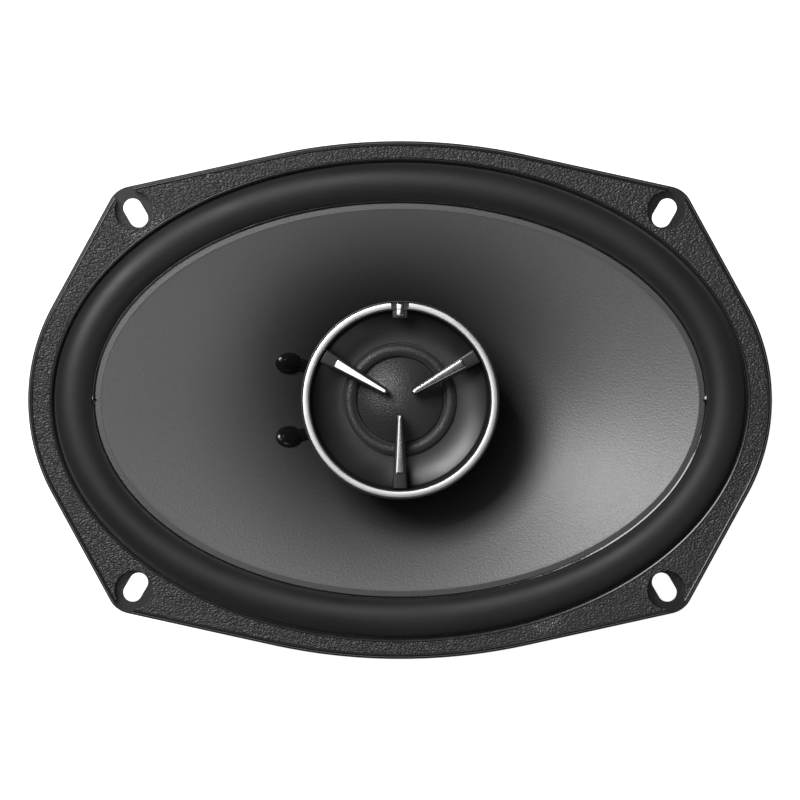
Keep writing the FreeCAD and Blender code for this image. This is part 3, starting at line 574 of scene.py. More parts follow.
FLANGE_OVAL = (114.0, 79.5, 0.0)
SHEET_PATH = [
    # half length, half width and height of the sheet's outer face, from the flange inwards
    (110.0, 75.5, 0.0),
    (106.5, 71.5, -14.0),
    (54.6, 54.3, -37.4),
    (52.0, 52.0, -38.2),
    (42.0, 42.0, -38.2),
    (41.6, 41.6, -52.2),
    (20.0, 20.0, -52.2),
]
CORNER_ROUND = (1.0, 3.0, 5.0, 1.5, 2.0, 1.6, 1.0)
WALL_STEP = 3.0
ARM_ANGLES = np.radians([26.5, 90.0, 153.5, 206.5, 270.0, 333.5])
RIB_HEIGHT = 1.3
RIB_WIDTH = np.radians(3.2)
RIB_FOOT_Z, RIB_HEAD_Z = -36.5, -15.0
RIB_FADE = 4.0


def tray_grid():
    """The tray's outer face: the flange's outline, then ellipses down the wall, with a rib on each arm.

    A rib lifts the arms by its height times exp(-(angle from its middle / width) to the 4th), and
    fades in and out between its foot and its head.
    """
    wall = soften([FLANGE_OVAL, *SHEET_PATH], (0, *CORNER_ROUND), closed=False)
    dense = []
    for first, last in zip(wall, wall[1:]):
        count = max(1, int(np.linalg.norm(last - first) / WALL_STEP))
        dense.append(first + (last - first) * np.linspace(0, 1, count, endpoint=False)[:, None])
    outline = flange_loop()
    loops = [raised(outline, 0.0)]
    loops += [raised(oval_loop(a, b, outline), z) for a, b, z in np.concatenate([*dense, wall[-1:]])]
    tray = np.array(loops)
    polar, height = np.arctan2(tray[..., 1], tray[..., 0]), tray[..., 2].copy()
    fade = np.clip((RIB_HEAD_Z - height) / RIB_FADE, 0, 1)
    fade *= np.clip((height - RIB_FOOT_Z) / RIB_FADE, 0, 1)
    for arm in ARM_ANGLES:
        away = np.abs((polar - arm + np.pi) % (2 * np.pi) - np.pi)
        tray[..., 2] += RIB_HEIGHT * fade * np.exp(-((away / RIB_WIDTH) ** 4))
    return tray


basket = build("basket_sheet", [sheet_part(tray_grid())])
thick = basket.modifiers.new("sheet", "SOLIDIFY")
thick.thickness = SHEET * MM
thick.offset = -1.0
thick.use_even_offset = True
settle(basket)

# direction of each window's middle, and half of its angle, in degrees
WINDOWS = [(0.0, 17.7), (57.6, 22.3), (122.4, 22.3), (180.0, 17.7), (237.6, 22.3), (302.4, 22.3)]
WINDOW_OVALS = ((58.0, 57.5), (101.0, 68.5))
WINDOW_CORNERS = 0.36


def blunted(wave, power):
    """A sine or cosine drawn out towards 1 and -1, which squares off the curve that it makes."""
    return np.sign(wave) * np.abs(wave) ** power


def window_cutter(name, middle, half_angle):
    """A punch with a rounded outline: a superellipse in (angle, reach) between two ellipses."""
    t = np.linspace(0, 2 * np.pi, 64, endpoint=False)
    out = (blunted(np.sin(t), WINDOW_CORNERS) + 1) / 2
    angle = np.radians(middle + half_angle * blunted(np.cos(t), WINDOW_CORNERS))
    near, far = (1 / np.hypot(np.cos(angle) / a, np.sin(angle) / b) for a, b in WINDOW_OVALS)
    reach = near + (far - near) * out
    loop = np.stack([reach * np.cos(angle), reach * np.sin(angle)], axis=1)
    return prism(name, loop, -50.0, -8.0)


def turned_by(x, y, angle):
    """X and Y after a turn about the axis."""
    return x * np.cos(angle) - y * np.sin(angle), x * np.sin(angle) + y * np.cos(angle)


def arc(radius, first=0.0, last=360.0, count=48, closed=True):
    """Points of a round arc between two directions in degrees; a full turn leaves out its last."""
    t = np.linspace(np.radians(first), np.radians(last), count, endpoint=not closed)
    return radius * np.stack([np.cos(t), np.sin(t)], axis=1)


SLOT_PLACE = (84.2, 59.6)
SLOT_TILT = 59.4
SLOT_STRAIGHT = 1.875
SLOT_RADIUS = 3.0


def at_corners(loop):
    """The same loop at the four screw places, its +X turned away from the cone."""
    first = SLOT_PLACE + np.stack(turned_by(*loop.T, np.radians(SLOT_TILT)), axis=1)
    return [
        (first * (along, across))[:: along * across] for along in (1, -1) for across in (1, -1)
    ]


def corner_cutters(name, loop, low, high):
    """Four punches through a plate between two heights."""
    return [
        prism(f"{name}_{index}", corner, low, high) for index, corner in enumerate(at_corners(loop))
    ]


slot_loop = arc(SLOT_RADIUS)
slot_loop[:, 0] += SLOT_STRAIGHT * np.sign(slot_loop[:, 0])
punch(basket, [window_cutter(f"window_{i}", *window) for i, window in enumerate(WINDOWS)])
punch(basket, corner_cutters("screw_slot", slot_loop, -3.0, 5.0))
ease_edges(basket, 0.25)

black_paint = finish_of(
    "black_paint",
    (0.011, 0.0113, 0.012),
    roughness=0.3,
    grain=(1400.0, 0.00005),
    slow=45.0,
    worn=(0.04, 0.04, 0.042),
    wear=(0.62, 0.8),
)
fit(basket, "basket", "basket", black_paint, "basket")

# ------------------------------------------------------------------ front gasket
# A moulded plastic ring glued to the flange and over the surround's edge. Its face has a leather
# grain, its edges are rounded, and it is cut away round each screw slot so that the flange shows.

GASKET_TOP = 5.0
GASKET_INSET = 0.8
GASKET_OVAL = (110.4, 76.0)
GASKET_OUTSIDE = [
    # inset and height of the outer wall's points, from the flange up to the face
    (0.0, 1.22),
    (0.0, 4.1),
    (0.12, 4.55),
    (0.4, 4.88),
    (0.8, GASKET_TOP),
    (1.3, GASKET_TOP),
]
GASKET_INSIDE = [
    # growth of the inner ellipse and height, from the face down to the step over the surround
    (1.1, GASKET_TOP),
    (0.85, 4.7),
    (0.3, 4.4),
    (0.0, 4.2),
    (0.0, 1.9),
    (3.2, 1.9),
    (3.2, 1.22),
]
gasket_outline = flange_loop(GASKET_INSET)
gasket_rows = [
    raised(flange_loop(GASKET_INSET + inset), height) for inset, height in GASKET_OUTSIDE
]
gasket_rows += [
    raised(oval_loop(GASKET_OVAL[0] + grown, GASKET_OVAL[1] + grown, gasket_outline), height)
    for grown, height in GASKET_INSIDE
]
gasket = build("gasket_ring", [sheet_part(np.array(gasket_rows), round_rows=True)])

# A recess is a round pocket whose mouth runs straight out through the corner.
RECESS_RADIUS = 6.15
RECESS_SHIFT = 0.8
RECESS_HALF_MOUTH = 3.3
RECESS_END = 14.0
recess_pocket = arc(RECESS_RADIUS, 32.5, 327.5, 56, closed=False) + (RECESS_SHIFT, 0)
recess_mouth = [(RECESS_END, -RECESS_HALF_MOUTH), (RECESS_END, RECESS_HALF_MOUTH)]
recess_loop = np.concatenate([recess_pocket, recess_mouth])
punch(gasket, corner_cutters("screw_recess", recess_loop, 0.0, 8.0))
ease_edges(gasket, 0.22)

leather_grain = finish_of(
    "leather_grain",
    (0.025, 0.0252, 0.026),
    roughness=0.42,
    slow=35.0,
    mottle=0.25,
    worn=(0.09, 0.09, 0.092),
    wear=(0.62, 0.8),
)

# Pebbles: the rounded cells of a leather grain, drawn out one way and wandering a little.
WANDER = 0.8 * MM
pebble_group, pebble_in, pebble_out = new_group(
    "pebbles", [("Scale", "Float", 1450.0), ("Depth", "Float", 0.0002)], [("Normal", "Vector")]
)
drawn_out = node(
    pebble_group,
    "Mapping",
    {"Vector": node(pebble_group, "TexCoord").outputs["Object"], "Scale": (1.0, 1.35, 1.0)},
)
wander = node(
    pebble_group, "TexNoise", {"Vector": drawn_out.outputs["Vector"], "Scale": 700.0, "Detail": 2.0}
)
strayed = node(
    pebble_group,
    "VectorMath",
    {0: wander.outputs["Color"], 1: (WANDER, WANDER, WANDER), 2: drawn_out.outputs["Vector"]},
    operation="MULTIPLY_ADD",
)
cells = node(
    pebble_group,
    "TexVoronoi",
    {"Vector": strayed.outputs["Vector"], "Scale": pebble_in.outputs["Scale"], "Smoothness": 0.5},
    feature="SMOOTH_F1",
)
cell_lift = node(
    pebble_group,
    "Bump",
    {"Height": cells.outputs["Distance"], "Distance": pebble_in.outputs["Depth"]},
    invert=True,
)
pebble_group.links.new(cell_lift.outputs["Normal"], pebble_out.inputs["Normal"])


def pebbled(skin, scale, depth):
    """Adds the leather pebbles to a finish, in place of its plain grain."""
    pebbles = node(
        skin.node_tree, "Group", {"Scale": scale, "Depth": depth}, node_tree=pebble_group
    )
    surface = skin.node_tree.nodes["Principled BSDF"]
    skin.node_tree.links.new(pebbles.outputs["Normal"], surface.inputs["Normal"])
    return skin


pebbled(leather_grain, 1450.0, 0.0003)
fit(gasket, "basket", "gasket", leather_grain, "gasket")


def oval_ring(name, oval, section, columns, crease=50.0):
    """A piece whose section of (offset outwards, height) is carried round an ellipse."""
    offset, height = np.asarray(section, float).T
    path = np.column_stack([oval[0] + offset, oval[1] + offset, height])
    return build(name, [sheet_part(oval_grid(path, columns), round_rows=True)], crease)


# The ring's inner edge is rolled smooth, so that it doesn't rub the rubber.
EDGE_SECTION = [
    (-0.03, 4.1),
    (0.02, 4.7),
    (0.1, 4.78),
    (0.5, 4.92),
    (0.7, 4.97),
    (0.9, 4.94),
    (1.0, 4.8),
    (1.0, 4.1),
]
rolled_edge = oval_ring("gasket_rolled_edge", GASKET_OVAL, EDGE_SECTION, 360)
smooth_plastic = finish_of(
    "smooth_plastic",
    (0.014, 0.014, 0.0145),
    roughness=0.24,
    grain=(1200.0, 0.00001),
    slow=160.0,
    mottle=0.15,
)
fit(rolled_edge, "basket", "gasket", smooth_plastic)

# A low smooth rib follows the ring's outer edge and is cut away with it at the screw slots.
RIB_SECTION = [
    # inset from the flange's outline, and height
    (0.77, 4.2),
    (0.79, 4.75),
    (0.88, 4.95),
    (0.95, 5.0),
    (1.38, 5.14),
    (1.46, 5.16),
    (1.54, 5.14),
    (1.86, 5.03),
    (1.95, 4.95),
    (1.95, 4.2),
]
rib_rows = [raised(flange_loop(inset), height) for inset, height in RIB_SECTION]
outer_rib = build("gasket_outer_rib", [sheet_part(np.array(rib_rows), round_rows=True)], 50.0)
punch(outer_rib, corner_cutters("rib_gap", recess_loop, 0.0, 8.0))
fit(outer_rib, "basket", "gasket", smooth_plastic)

# ------------------------------------------------------------------ surround
# A half roll of moulded rubber between the basket and the cone. Its outer foot is glued under the
# gasket and its inner foot under the cone's lip; it flexes as the cone moves.

MIDDLE_OVAL = (103.8, 69.4)
ROLL_HALF = 6.1
ROLL_RISE = 4.8
HOLLOW_RISE = 4.7
ROLL_ROUNDNESS = 0.9
FOOT_HEIGHT = 1.2
FOOT_SKIN = 0.6
OUTER_FOOT = 9.0
INNER_FOOT = -7.5

foot_top = FOOT_HEIGHT + FOOT_SKIN
roll_turn = np.linspace(0, np.pi, 25)
roll_swell = np.sin(roll_turn) ** ROLL_ROUNDNESS
crown = np.column_stack([ROLL_HALF * np.cos(roll_turn), foot_top + ROLL_RISE * roll_swell])
hollow = np.column_stack(
    [-(ROLL_HALF - FOOT_SKIN) * np.cos(roll_turn), FOOT_HEIGHT + HOLLOW_RISE * roll_swell]
)
outer_foot = [(OUTER_FOOT, FOOT_HEIGHT), (OUTER_FOOT, foot_top)]
inner_foot = [(INNER_FOOT, foot_top), (INNER_FOOT, FOOT_HEIGHT)]
roll_section = np.concatenate([outer_foot, crown, inner_foot, hollow])
surround = oval_ring("surround_roll", MIDDLE_OVAL, roll_section, 320)


def ring_blend(piece, reach_of):
    """Works out how far out each point lies by reach_of, which is not used further, and bakes the ring's
    place into its mesh.
    """
    points = np.empty(len(piece.data.vertices) * 3)
    piece.data.vertices.foreach_get("co", points)
    reach = reach_of(points.reshape(-1, 3) / MM)
    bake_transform(piece)


def oval_reach(points):
    """How far outside the surround's middle ellipse each point lies, along its own direction."""
    t = np.arctan2(points[:, 1] / MIDDLE_OVAL[1], points[:, 0] / MIDDLE_OVAL[0])
    middle = np.hypot(MIDDLE_OVAL[0] * np.cos(t), MIDDLE_OVAL[1] * np.sin(t))
    return np.hypot(points[:, 0], points[:, 1]) - middle


rubber = finish_of(
    "satin_rubber",
    (0.0185, 0.0185, 0.0188),
    roughness=0.5,
    grain=(2600.0, 0.00003),
    slow=30.0,
    mottle=0.18,
    Sheen_Weight=0.15,
    Specular_IOR_Level=0.36,
)
dress(surround, "surround", rubber, "surround")
ring_blend(surround, oval_reach)

# ------------------------------------------------------------------ cone
# An oval bowl of mineral-filled plastic, steep at the neck and flatter at the rim, with a narrow lip in
# a darker tone. Painted shade darkens the face towards the neck. Flakes of filler give the satin grey
# face its fine sparkle.

NECK = (17.4, 17.4, -31.0)
RIM = (95.9, 61.5, 2.9)
CONE_CURVE = 0.62
CONE_SKIN = 0.9
FACE_EDGE = 0.7
LIP_CHAMFER = 0.1
LIP_EDGE = 1.3


def cone_path(skin_at_neck, skin_at_rim, rows):
    """Half length and half width grow evenly with s; height grows with s to CONE_CURVE.

    The rows stand closer together at the neck, where the face is steepest.
    """
    s = np.linspace(0, 1, rows)[:, None] ** 1.4
    start = np.array([NECK[0] + skin_at_neck, NECK[1] + skin_at_neck])
    end = np.array([RIM[0] + skin_at_rim, RIM[1] + skin_at_rim])
    height = NECK[2] + (RIM[2] - NECK[2]) * s**CONE_CURVE
    return np.hstack([start + (end - start) * s, height])


def cone_height(x, y):
    """The height of the cone's face over a point, by halving the interval that holds its s."""
    low, high = np.zeros_like(x), np.ones_like(x)
    for _ in range(30):
        s = (low + high) / 2
        a = NECK[0] + (RIM[0] - NECK[0]) * s
        b = NECK[1] + (RIM[1] - NECK[1]) * s
        outside = (x / a) ** 2 + (y / b) ** 2 > 1
        low, high = np.where(outside, s, low), np.where(outside, high, s)
    return NECK[2] + (RIM[2] - NECK[2]) * s**CONE_CURVE


cone_face = cone_path(0.0, -FACE_EDGE - LIP_CHAMFER, 64)
cone_back = cone_path(CONE_SKIN, LIP_EDGE, 40)[-2::-1]
cone_lip = [
    (RIM[0] + grown, RIM[1] + grown, RIM[2] + lift)
    for grown, lift in ((-FACE_EDGE, 0.06), (0.95, -0.06), (LIP_EDGE, -0.3))
]
cone_section = np.concatenate([cone_face, cone_lip, cone_back])
cone = build("cone_bowl", [sheet_part(oval_grid(cone_section, 320), round_rows=True)], 14.0)

flake = finish_of(
    "flaked_cone",
    (0.178, 0.178, 0.177),
    roughness=0.45,
    metallic=0.3,
    grain=(1700.0, 0.0001),
    slow=3000.0,
    mottle=0.3,
)
cone_tree = flake.node_tree
cone_surface = cone_tree.nodes["Principled BSDF"]


def ellipse_mask(half_length, half_width, interpolation="LINEAR", **ramp):
    """A ramp over how far out a point lies: 0 at the axis and 1 on the ellipse of these halves."""
    squeezed = node(
        cone_tree,
        "VectorMath",
        {
            0: node(cone_tree, "TexCoord").outputs["Object"],
            1: (1 / half_length, 1 / half_width, 0.0),
        },
        operation="MULTIPLY",
    ).outputs["Vector"]
    outwards = node(cone_tree, "VectorMath", {0: squeezed}, operation="LENGTH").outputs["Value"]
    ends = {name.replace("_", " "): end for name, end in ramp.items()}
    ramp_sockets = {"Value": outwards, **ends}
    return node(cone_tree, "MapRange", ramp_sockets, interpolation_type=interpolation)


# Painted shade darkens the face towards the neck, where the tweeter above shades it, and the lip is
# darker.
SHADE_REACH = 75.0 * MM
NECK_SHADE_TONE = (0.03, 0.03, 0.031, 1)
LIP_TONE = (0.095, 0.095, 0.095, 1)
neck_painted_shade = ellipse_mask(
    SHADE_REACH, SHADE_REACH, "SMOOTHSTEP", From_Min=0.3, From_Max=1.0, To_Min=1.0, To_Max=0.0
)
on_lip = ellipse_mask(
    (RIM[0] - FACE_EDGE) * MM, (RIM[1] - FACE_EDGE) * MM, From_Min=0.997, From_Max=1.0
)
face_tone = cone_surface.inputs["Base Color"].links[0].from_socket
# painted shade: the face's colour falls to a dark tone towards the neck
face_tone = mix_colours(cone_tree, neck_painted_shade.outputs["Result"], face_tone, NECK_SHADE_TONE)
face_tone = mix_colours(cone_tree, on_lip.outputs["Result"], face_tone, LIP_TONE)
cone_tree.links.new(face_tone, cone_surface.inputs["Base Color"])
fit(cone, "cone_assembly", "cone", flake, "cone")

# The bead of adhesive that runs round the lip, uneven as it was laid, with a gate mark at each end.
BEAD_OFFSET = 1.6
BEAD_HEIGHT = 2.6
BEAD_SECTION = np.array(
    [(-0.75, 0.0), (-0.68, 0.1), (-0.62, 0.14), (-0.1, 0.31), (0.1, 0.35), (0.4, 0.3)]
    + [(0.65, 0.12), (0.7, -0.1), (0.5, -0.3), (-0.5, -0.3)]
)


def bead_grid():
    """The bead's section along the ellipse's outward normal, swelling by three slow waves.

    The gate mark at each end adds 0.9 of the section's size times exp(-(90 sin t) squared).
    """
    t = np.linspace(0, 2 * np.pi, 720, endpoint=False)
    along, across = RIM[0] + BEAD_OFFSET, RIM[1] + BEAD_OFFSET
    middle = np.stack([along * np.cos(t), across * np.sin(t), 0 * t + BEAD_HEIGHT], axis=1)
    swell = 1 + 0.04 * np.sin(17 * t) + 0.04 * np.sin(31 * t + 1.0) + 0.03 * np.sin(58 * t + 2.0)
    swell += 0.9 * np.exp(-((np.sin(t) * 90.0) ** 2))
    outwards = np.stack([np.cos(t) / RIM[0], np.sin(t) / RIM[1], 0 * t], axis=1)
    outwards /= np.linalg.norm(outwards, axis=1, keepdims=True)
    section = outwards[:, None] * BEAD_SECTION[:, :1] + np.array([0, 0, 1.0]) * BEAD_SECTION[:, 1:]
    return middle[:, None] + swell[:, None, None] * section


rim_glue = build("rim_glue_line", [sheet_part(bead_grid(), round_rows=True)])
glue = finish_of(
    "black_glue",
    (0.008, 0.008, 0.009),
    roughness=0.13,
    grain=(700.0, 0.00003),
    slow=220.0,
    mottle=0.2,
)
fit(rim_glue, "cone_assembly", "glue", glue)

# ------------------------------------------------------------------ lead glue caps
# Each tinsel lead comes through the cone at an eyelet that is sealed under a drop of black adhesive;
# the adhesive runs on down the face over the lead, towards the voice coil.

CAP_PLACE = (-35.6, 11.8)
CAP_HALF = (4.4, 3.5)
CAP_HEIGHT = 2.3
TAIL_END = (-22.0, 8.2)
TAIL_HALF = 2.3
DOLLOP_PLACE = (-37.0, 11.8, -17.3)
DOLLOP_RADIUS = 1.9


def glue_drop(sign):
    """A dome over the cone's face: height times the root of 1 - r squared, closed underneath."""
    r = np.concatenate([np.linspace(0, 1, 14), np.linspace(1, 0, 6)[1:]])[:, None]
    under = np.arange(len(r))[:, None] >= 14
    t = np.linspace(0, 2 * np.pi, 48, endpoint=False)[None, :]
    x = CAP_PLACE[0] + CAP_HALF[0] * r * np.cos(t)
    y = sign * CAP_PLACE[1] + CAP_HALF[1] * r * np.sin(t)
    bulge = np.sqrt(np.clip(1 - r**2, 0, 1)) * CAP_HEIGHT
    z = cone_height(x, y) + np.where(under, -0.2, bulge) - 0.05
    return np.stack([x, y, z], axis=-1)


def glue_tail(sign):
    """A half-round strip laid down the cone's face from the drop towards the neck."""
    s = np.linspace(0, 1, 40)[:, None]
    t = np.linspace(0, 2 * np.pi, 20, endpoint=False)[None, :]
    lane = TAIL_HALF * np.sqrt(np.clip(1 - (2 * s - 1) ** 8, 0.02, 1)) * (1 - 0.25 * s)
    x = CAP_PLACE[0] + (TAIL_END[0] - CAP_PLACE[0]) * s + 0 * t
    y = sign * (CAP_PLACE[1] + (TAIL_END[1] - CAP_PLACE[1]) * s**1.5 + lane * np.cos(t))
    z = cone_height(x, y) + 0.6 * lane * np.sin(t)
    return np.stack([x, y, z], axis=-1)


def glue_dollop(sign):
    """A lumpy ball behind the cone where the lead goes in: radius times 1 plus two slow waves."""
    up = np.linspace(0, np.pi, 20)[:, None]
    t = np.linspace(0, 2 * np.pi, 32, endpoint=False)[None, :]
    lump = DOLLOP_RADIUS * (1 + 0.06 * np.sin(3 * t + 1.0) * np.sin(up) + 0.05 * np.cos(2 * up))
    x = DOLLOP_PLACE[0] + lump * np.sin(up) * np.cos(t) * 1.15
    y = sign * DOLLOP_PLACE[1] + lump * np.sin(up) * np.sin(t)
    z = DOLLOP_PLACE[2] - lump * np.cos(up) + 0 * t
    return np.stack([x, y, z], axis=-1)


caps = build(
    "lead_glue_drops",
    [sheet_part(shape(sign)) for shape in (glue_drop, glue_dollop) for sign in (1, -1)]
    + [sheet_part(glue_tail(sign), capped=True) for sign in (1, -1)],
)
fit(caps, "cone_assembly", "glue", glue, "lead_glue_caps")

# ------------------------------------------------------------------ voice coil and dust ring
# An amber film former glued into the cone's neck carries two layers of enamelled copper wire. A felt
# ring inside its top keeps dust out of the gap round the post.


def rectangle(first, last, low, high):
    """Four corners in order, on the plan or as a ring's section of (radius, height)."""
    return [(first, low), (last, low), (last, high), (first, high)]


def coil_profile(inside, wire_middle, wire_swell, low, high, turns, steps):
    """A layer of wire: radius = middle + swell times |sin|, one arch for each turn."""
    height = np.linspace(low, high, steps)
    arches = np.abs(np.sin((height - low) / (high - low) * turns * np.pi))
    wire = np.column_stack([wire_middle + wire_swell * arches, height])
    return np.concatenate([[(inside, low)], wire, [(inside, high)]])


former = turned("coil_former", rectangle(17.0, 17.3, -61.5, -27.0))
amber_film = finish_of(
    "amber_film", (0.42, 0.2, 0.05), roughness=0.25, grain=(600.0, 0.00004), slow=150.0
)
fit(former, "cone_assembly", "former", amber_film, "voice_coil_former")

winding_profile = coil_profile(17.31, 17.68, 0.2, -61.4, -49.4, turns=34, steps=204)
winding = turned("coil_winding", winding_profile, crease=60.0)
copper = finish_of(
    "enamelled_copper",
    (0.55, 0.2, 0.08),
    roughness=0.3,
    metallic=1.0,
    grain=(900.0, 0.00003),
    slow=300.0,
)
fit(winding, "cone_assembly", "copper", copper, "voice_coil_winding")

felt = turned("felt_dust_ring", soften(rectangle(6.7, 16.98, -33.5, -32.0), 0.3))
black_felt = finish_of(
    "black_felt",
    (0.03, 0.03, 0.031),
    roughness=0.95,
    grain=(2600.0, 0.0006),
    slow=300.0,
    Sheen_Weight=0.5,
)
fit(felt, "cone_assembly", "felt", black_felt, "dust_ring")

# ------------------------------------------------------------------ spider
# A disc of resin-stiffened cotton, pressed into rings of corrugation, that keeps the coil centred. It
# is glued to the former inside and to the basket's landing outside.

SPIDER_REACH = (17.7, 47.0)
SPIDER_MIDDLE = -36.75
SPIDER_SKIN = 0.45
WAVES = 5.0
WAVE_START = 21.0
WAVE_SPAN = 19.5
WAVE_HEIGHT = 0.85


def spider_profile():
    """Five sine waves over the radius, fading to flat at the former and at the landing."""
    r = np.linspace(*SPIDER_REACH, 180)
    fade = np.clip((r - 20.6) / 1.2, 0, 1) * np.clip((40.6 - r) / 1.0, 0, 1)
    wave = WAVE_HEIGHT * fade * np.sin((r - WAVE_START) / WAVE_SPAN * 2 * np.pi * WAVES)
    top = np.column_stack([r, SPIDER_MIDDLE + wave + SPIDER_SKIN / 2])
    return np.concatenate([top, (top - (0, SPIDER_SKIN))[::-1]])


spider = turned("spider_cloth", spider_profile(), 192, 50.0)

# Weave: two crossing sets of threads, as the higher of two waves along X and Y.
weave_group, weave_in, weave_out = new_group(
    "weave",
    [("Pitch", "Float", 2500.0), ("Depth", "Float", 0.0002)],
    [("Thread", "Float"), ("Normal", "Vector")],
)
weave_place = node(weave_group, "TexCoord").outputs["Object"]
threads = [
    node(
        weave_group,
        "TexWave",
        {
            "Vector": weave_place,
            "Scale": weave_in.outputs["Pitch"],
            "Distortion": 0.6,
            "Detail": 1.0,
        },
        bands_direction=direction,
    )
    for direction in "XY"
]
over = node(
    weave_group,
    "Math",
    {0: threads[0].outputs["Fac"], 1: threads[1].outputs["Fac"]},
    operation="MAXIMUM",
)
cloth_lift = node(
    weave_group, "Bump", {"Height": over.outputs[0], "Distance": weave_in.outputs["Depth"]}
)
weave_group.links.new(over.outputs[0], weave_out.inputs["Thread"])
weave_group.links.new(cloth_lift.outputs["Normal"], weave_out.inputs["Normal"])


def woven(skin, pitch, depth, dark, light):
    """Replaces a finish's grain with threads that shade its colour."""
    tree = skin.node_tree
    surface = tree.nodes["Principled BSDF"]
    cloth = node(tree, "Group", {"Pitch": pitch, "Depth": depth}, node_tree=weave_group)
    shade = mix_colours(tree, cloth.outputs["Thread"], [*dark, 1], [*light, 1])
    tree.links.new(shade, surface.inputs["Base Color"])
    tree.links.new(cloth.outputs["Normal"], surface.inputs["Normal"])
    return skin


def round_reach(points):
    """How far each point lies from the axis."""
    return np.hypot(points[:, 0], points[:, 1])


cotton = woven(
    finish_of("stiffened_cotton", (0.5, 0.33, 0.12), roughness=0.6),
    420.0,
    0.0003,
    (0.3, 0.18, 0.06),
    (0.56, 0.4, 0.17),
)
dress(spider, "spider_cloth", cotton, "spider")
ring_blend(spider, round_reach)

# ------------------------------------------------------------------ motor
# A zinc-plated front plate, a ferrite ring and a back plate with its pole in one piece, glued and
# riveted to the basket's cup. The ferrite is ground on its faces and left rough round its edge.

PLATE_RADIUS = 46.0
FERRITE_RADIUS = 50.0
CUP_UNDER, FRONT_UNDER, FERRITE_UNDER, BACK_UNDER = -52.2, -58.2, -73.2, -79.2
POLE_RADIUS = 16.4
POLE_TOP = -51.7
POLE_BORE = 4.6
BACK_BORE = 8.0
BACK_BORE_TOP = -72.2
MOTOR_COLUMNS = 192

front_section = soften(rectangle(18.4, PLATE_RADIUS, FRONT_UNDER, CUP_UNDER), 0.6)
front_plate = turned("motor_front_plate", front_section, MOTOR_COLUMNS)
ferrite_section = soften(rectangle(25.0, FERRITE_RADIUS, FERRITE_UNDER, FRONT_UNDER), 1.1, 3)
ferrite = turned("ferrite_ring", ferrite_section, MOTOR_COLUMNS)
pole_section = soften(
    [
        (BACK_BORE, BACK_UNDER),
        (PLATE_RADIUS, BACK_UNDER),
        (PLATE_RADIUS, FERRITE_UNDER),
        (18.0, FERRITE_UNDER),
        (POLE_RADIUS, -71.0),
        (POLE_RADIUS, POLE_TOP),
        (POLE_BORE, POLE_TOP),
        (POLE_BORE, BACK_BORE_TOP),
        (BACK_BORE, BACK_BORE_TOP),
    ],
    (0.8, 1.2, 0.8, 1.0, 1.0, 0.6, 0.4, 0.3, 0.3),
)
pole = turned("back_plate_and_pole", pole_section, MOTOR_COLUMNS)
GROOVE_LENGTH = 48.0
GROOVE_HALF = 1.8
groove_loop = np.array(rectangle(-GROOVE_LENGTH, 0.0, -GROOVE_HALF, GROOVE_HALF))
punch(pole, [prism("wire_groove", groove_loop, -81.0, -76.2)])
ease_edges(pole, 0.3)

# Turning: fine circles left by the lathe, from the distance to the axis.
turning_group, turning_in, turning_out = new_group(
    "turning", [("Pitch", "Float", 4000.0), ("Depth", "Float", 0.00004)], [("Normal", "Vector")]
)
turning_place = node(turning_group, "TexCoord").outputs["Object"]
apart = node(turning_group, "SeparateXYZ", {"Vector": turning_place})
flat_place = node(turning_group, "CombineXYZ", {"X": apart.outputs["X"], "Y": apart.outputs["Y"]})
distance = node(turning_group, "VectorMath", {0: flat_place.outputs["Vector"]}, operation="LENGTH")
reach_only = node(turning_group, "CombineXYZ", {"X": distance.outputs["Value"]})
cut_marks = node(
    turning_group,
    "TexNoise",
    {"Vector": reach_only.outputs["Vector"], "Scale": turning_in.outputs["Pitch"], "Detail": 3.0},
)
mark_lift = node(
    turning_group,
    "Bump",
    {"Height": cut_marks.outputs["Fac"], "Distance": turning_in.outputs["Depth"]},
)
turning_group.links.new(mark_lift.outputs["Normal"], turning_out.inputs["Normal"])


def lathe_marked(skin, pitch, depth):
    """Replaces a finish's grain with the lathe's circles."""
    tree = skin.node_tree
    marks = node(tree, "Group", {"Pitch": pitch, "Depth": depth}, node_tree=turning_group)
    tree.links.new(marks.outputs["Normal"], tree.nodes["Principled BSDF"].inputs["Normal"])
    return skin


zinc_plate = finish_of(
    "zinc_plate",
    (0.38, 0.375, 0.345),
    roughness=0.36,
    metallic=1.0,
    slow=70.0,
    worn=(0.62, 0.61, 0.58),
)
zinc = lathe_marked(zinc_plate, 2500.0, 0.00005)
ground_ferrite = finish_of(
    "ground_ferrite",
    (0.035, 0.035, 0.037),
    roughness=0.62,
    grain=(700.0, 0.00035),
    slow=90.0,
    worn=(0.12, 0.12, 0.12),
)
fit(front_plate, "basket", "plated_steel", zinc, "front_plate")
fit(ferrite, "basket", "ferrite", ground_ferrite, "ferrite_magnet")
fit(pole, "basket", "plated_steel", zinc, "back_plate_pole")

SMALL_COLUMNS = 32
RIVET_CIRCLE = 30.0
rivet_profile = [
    (0.0, -49.65),
    (1.2, -49.72),
    (2.3, -50.0),
    (3.0, -50.5),
    (3.2, -51.0),
    (0.0, -51.0),
]


def dotted(profile, places, round_rows=False):
    """The same small turned part at several places on the plan."""
    grid = turned_grid(profile, SMALL_COLUMNS)
    return [sheet_part(grid + np.array([x, y, 0.0]), round_rows) for x, y in places]


rivets = build("motor_rivet_heads", dotted(rivet_profile, arc(RIVET_CIRCLE, count=6)))
fit(rivets, "basket", "plated_steel", zinc, "motor_rivets")

# ------------------------------------------------------------------ terminal board
# A black phenolic board riveted under the landing. It carries a wide and a narrow tinned blade, each
# held by an eyelet, and the tweeter's capacitor is glued under it.


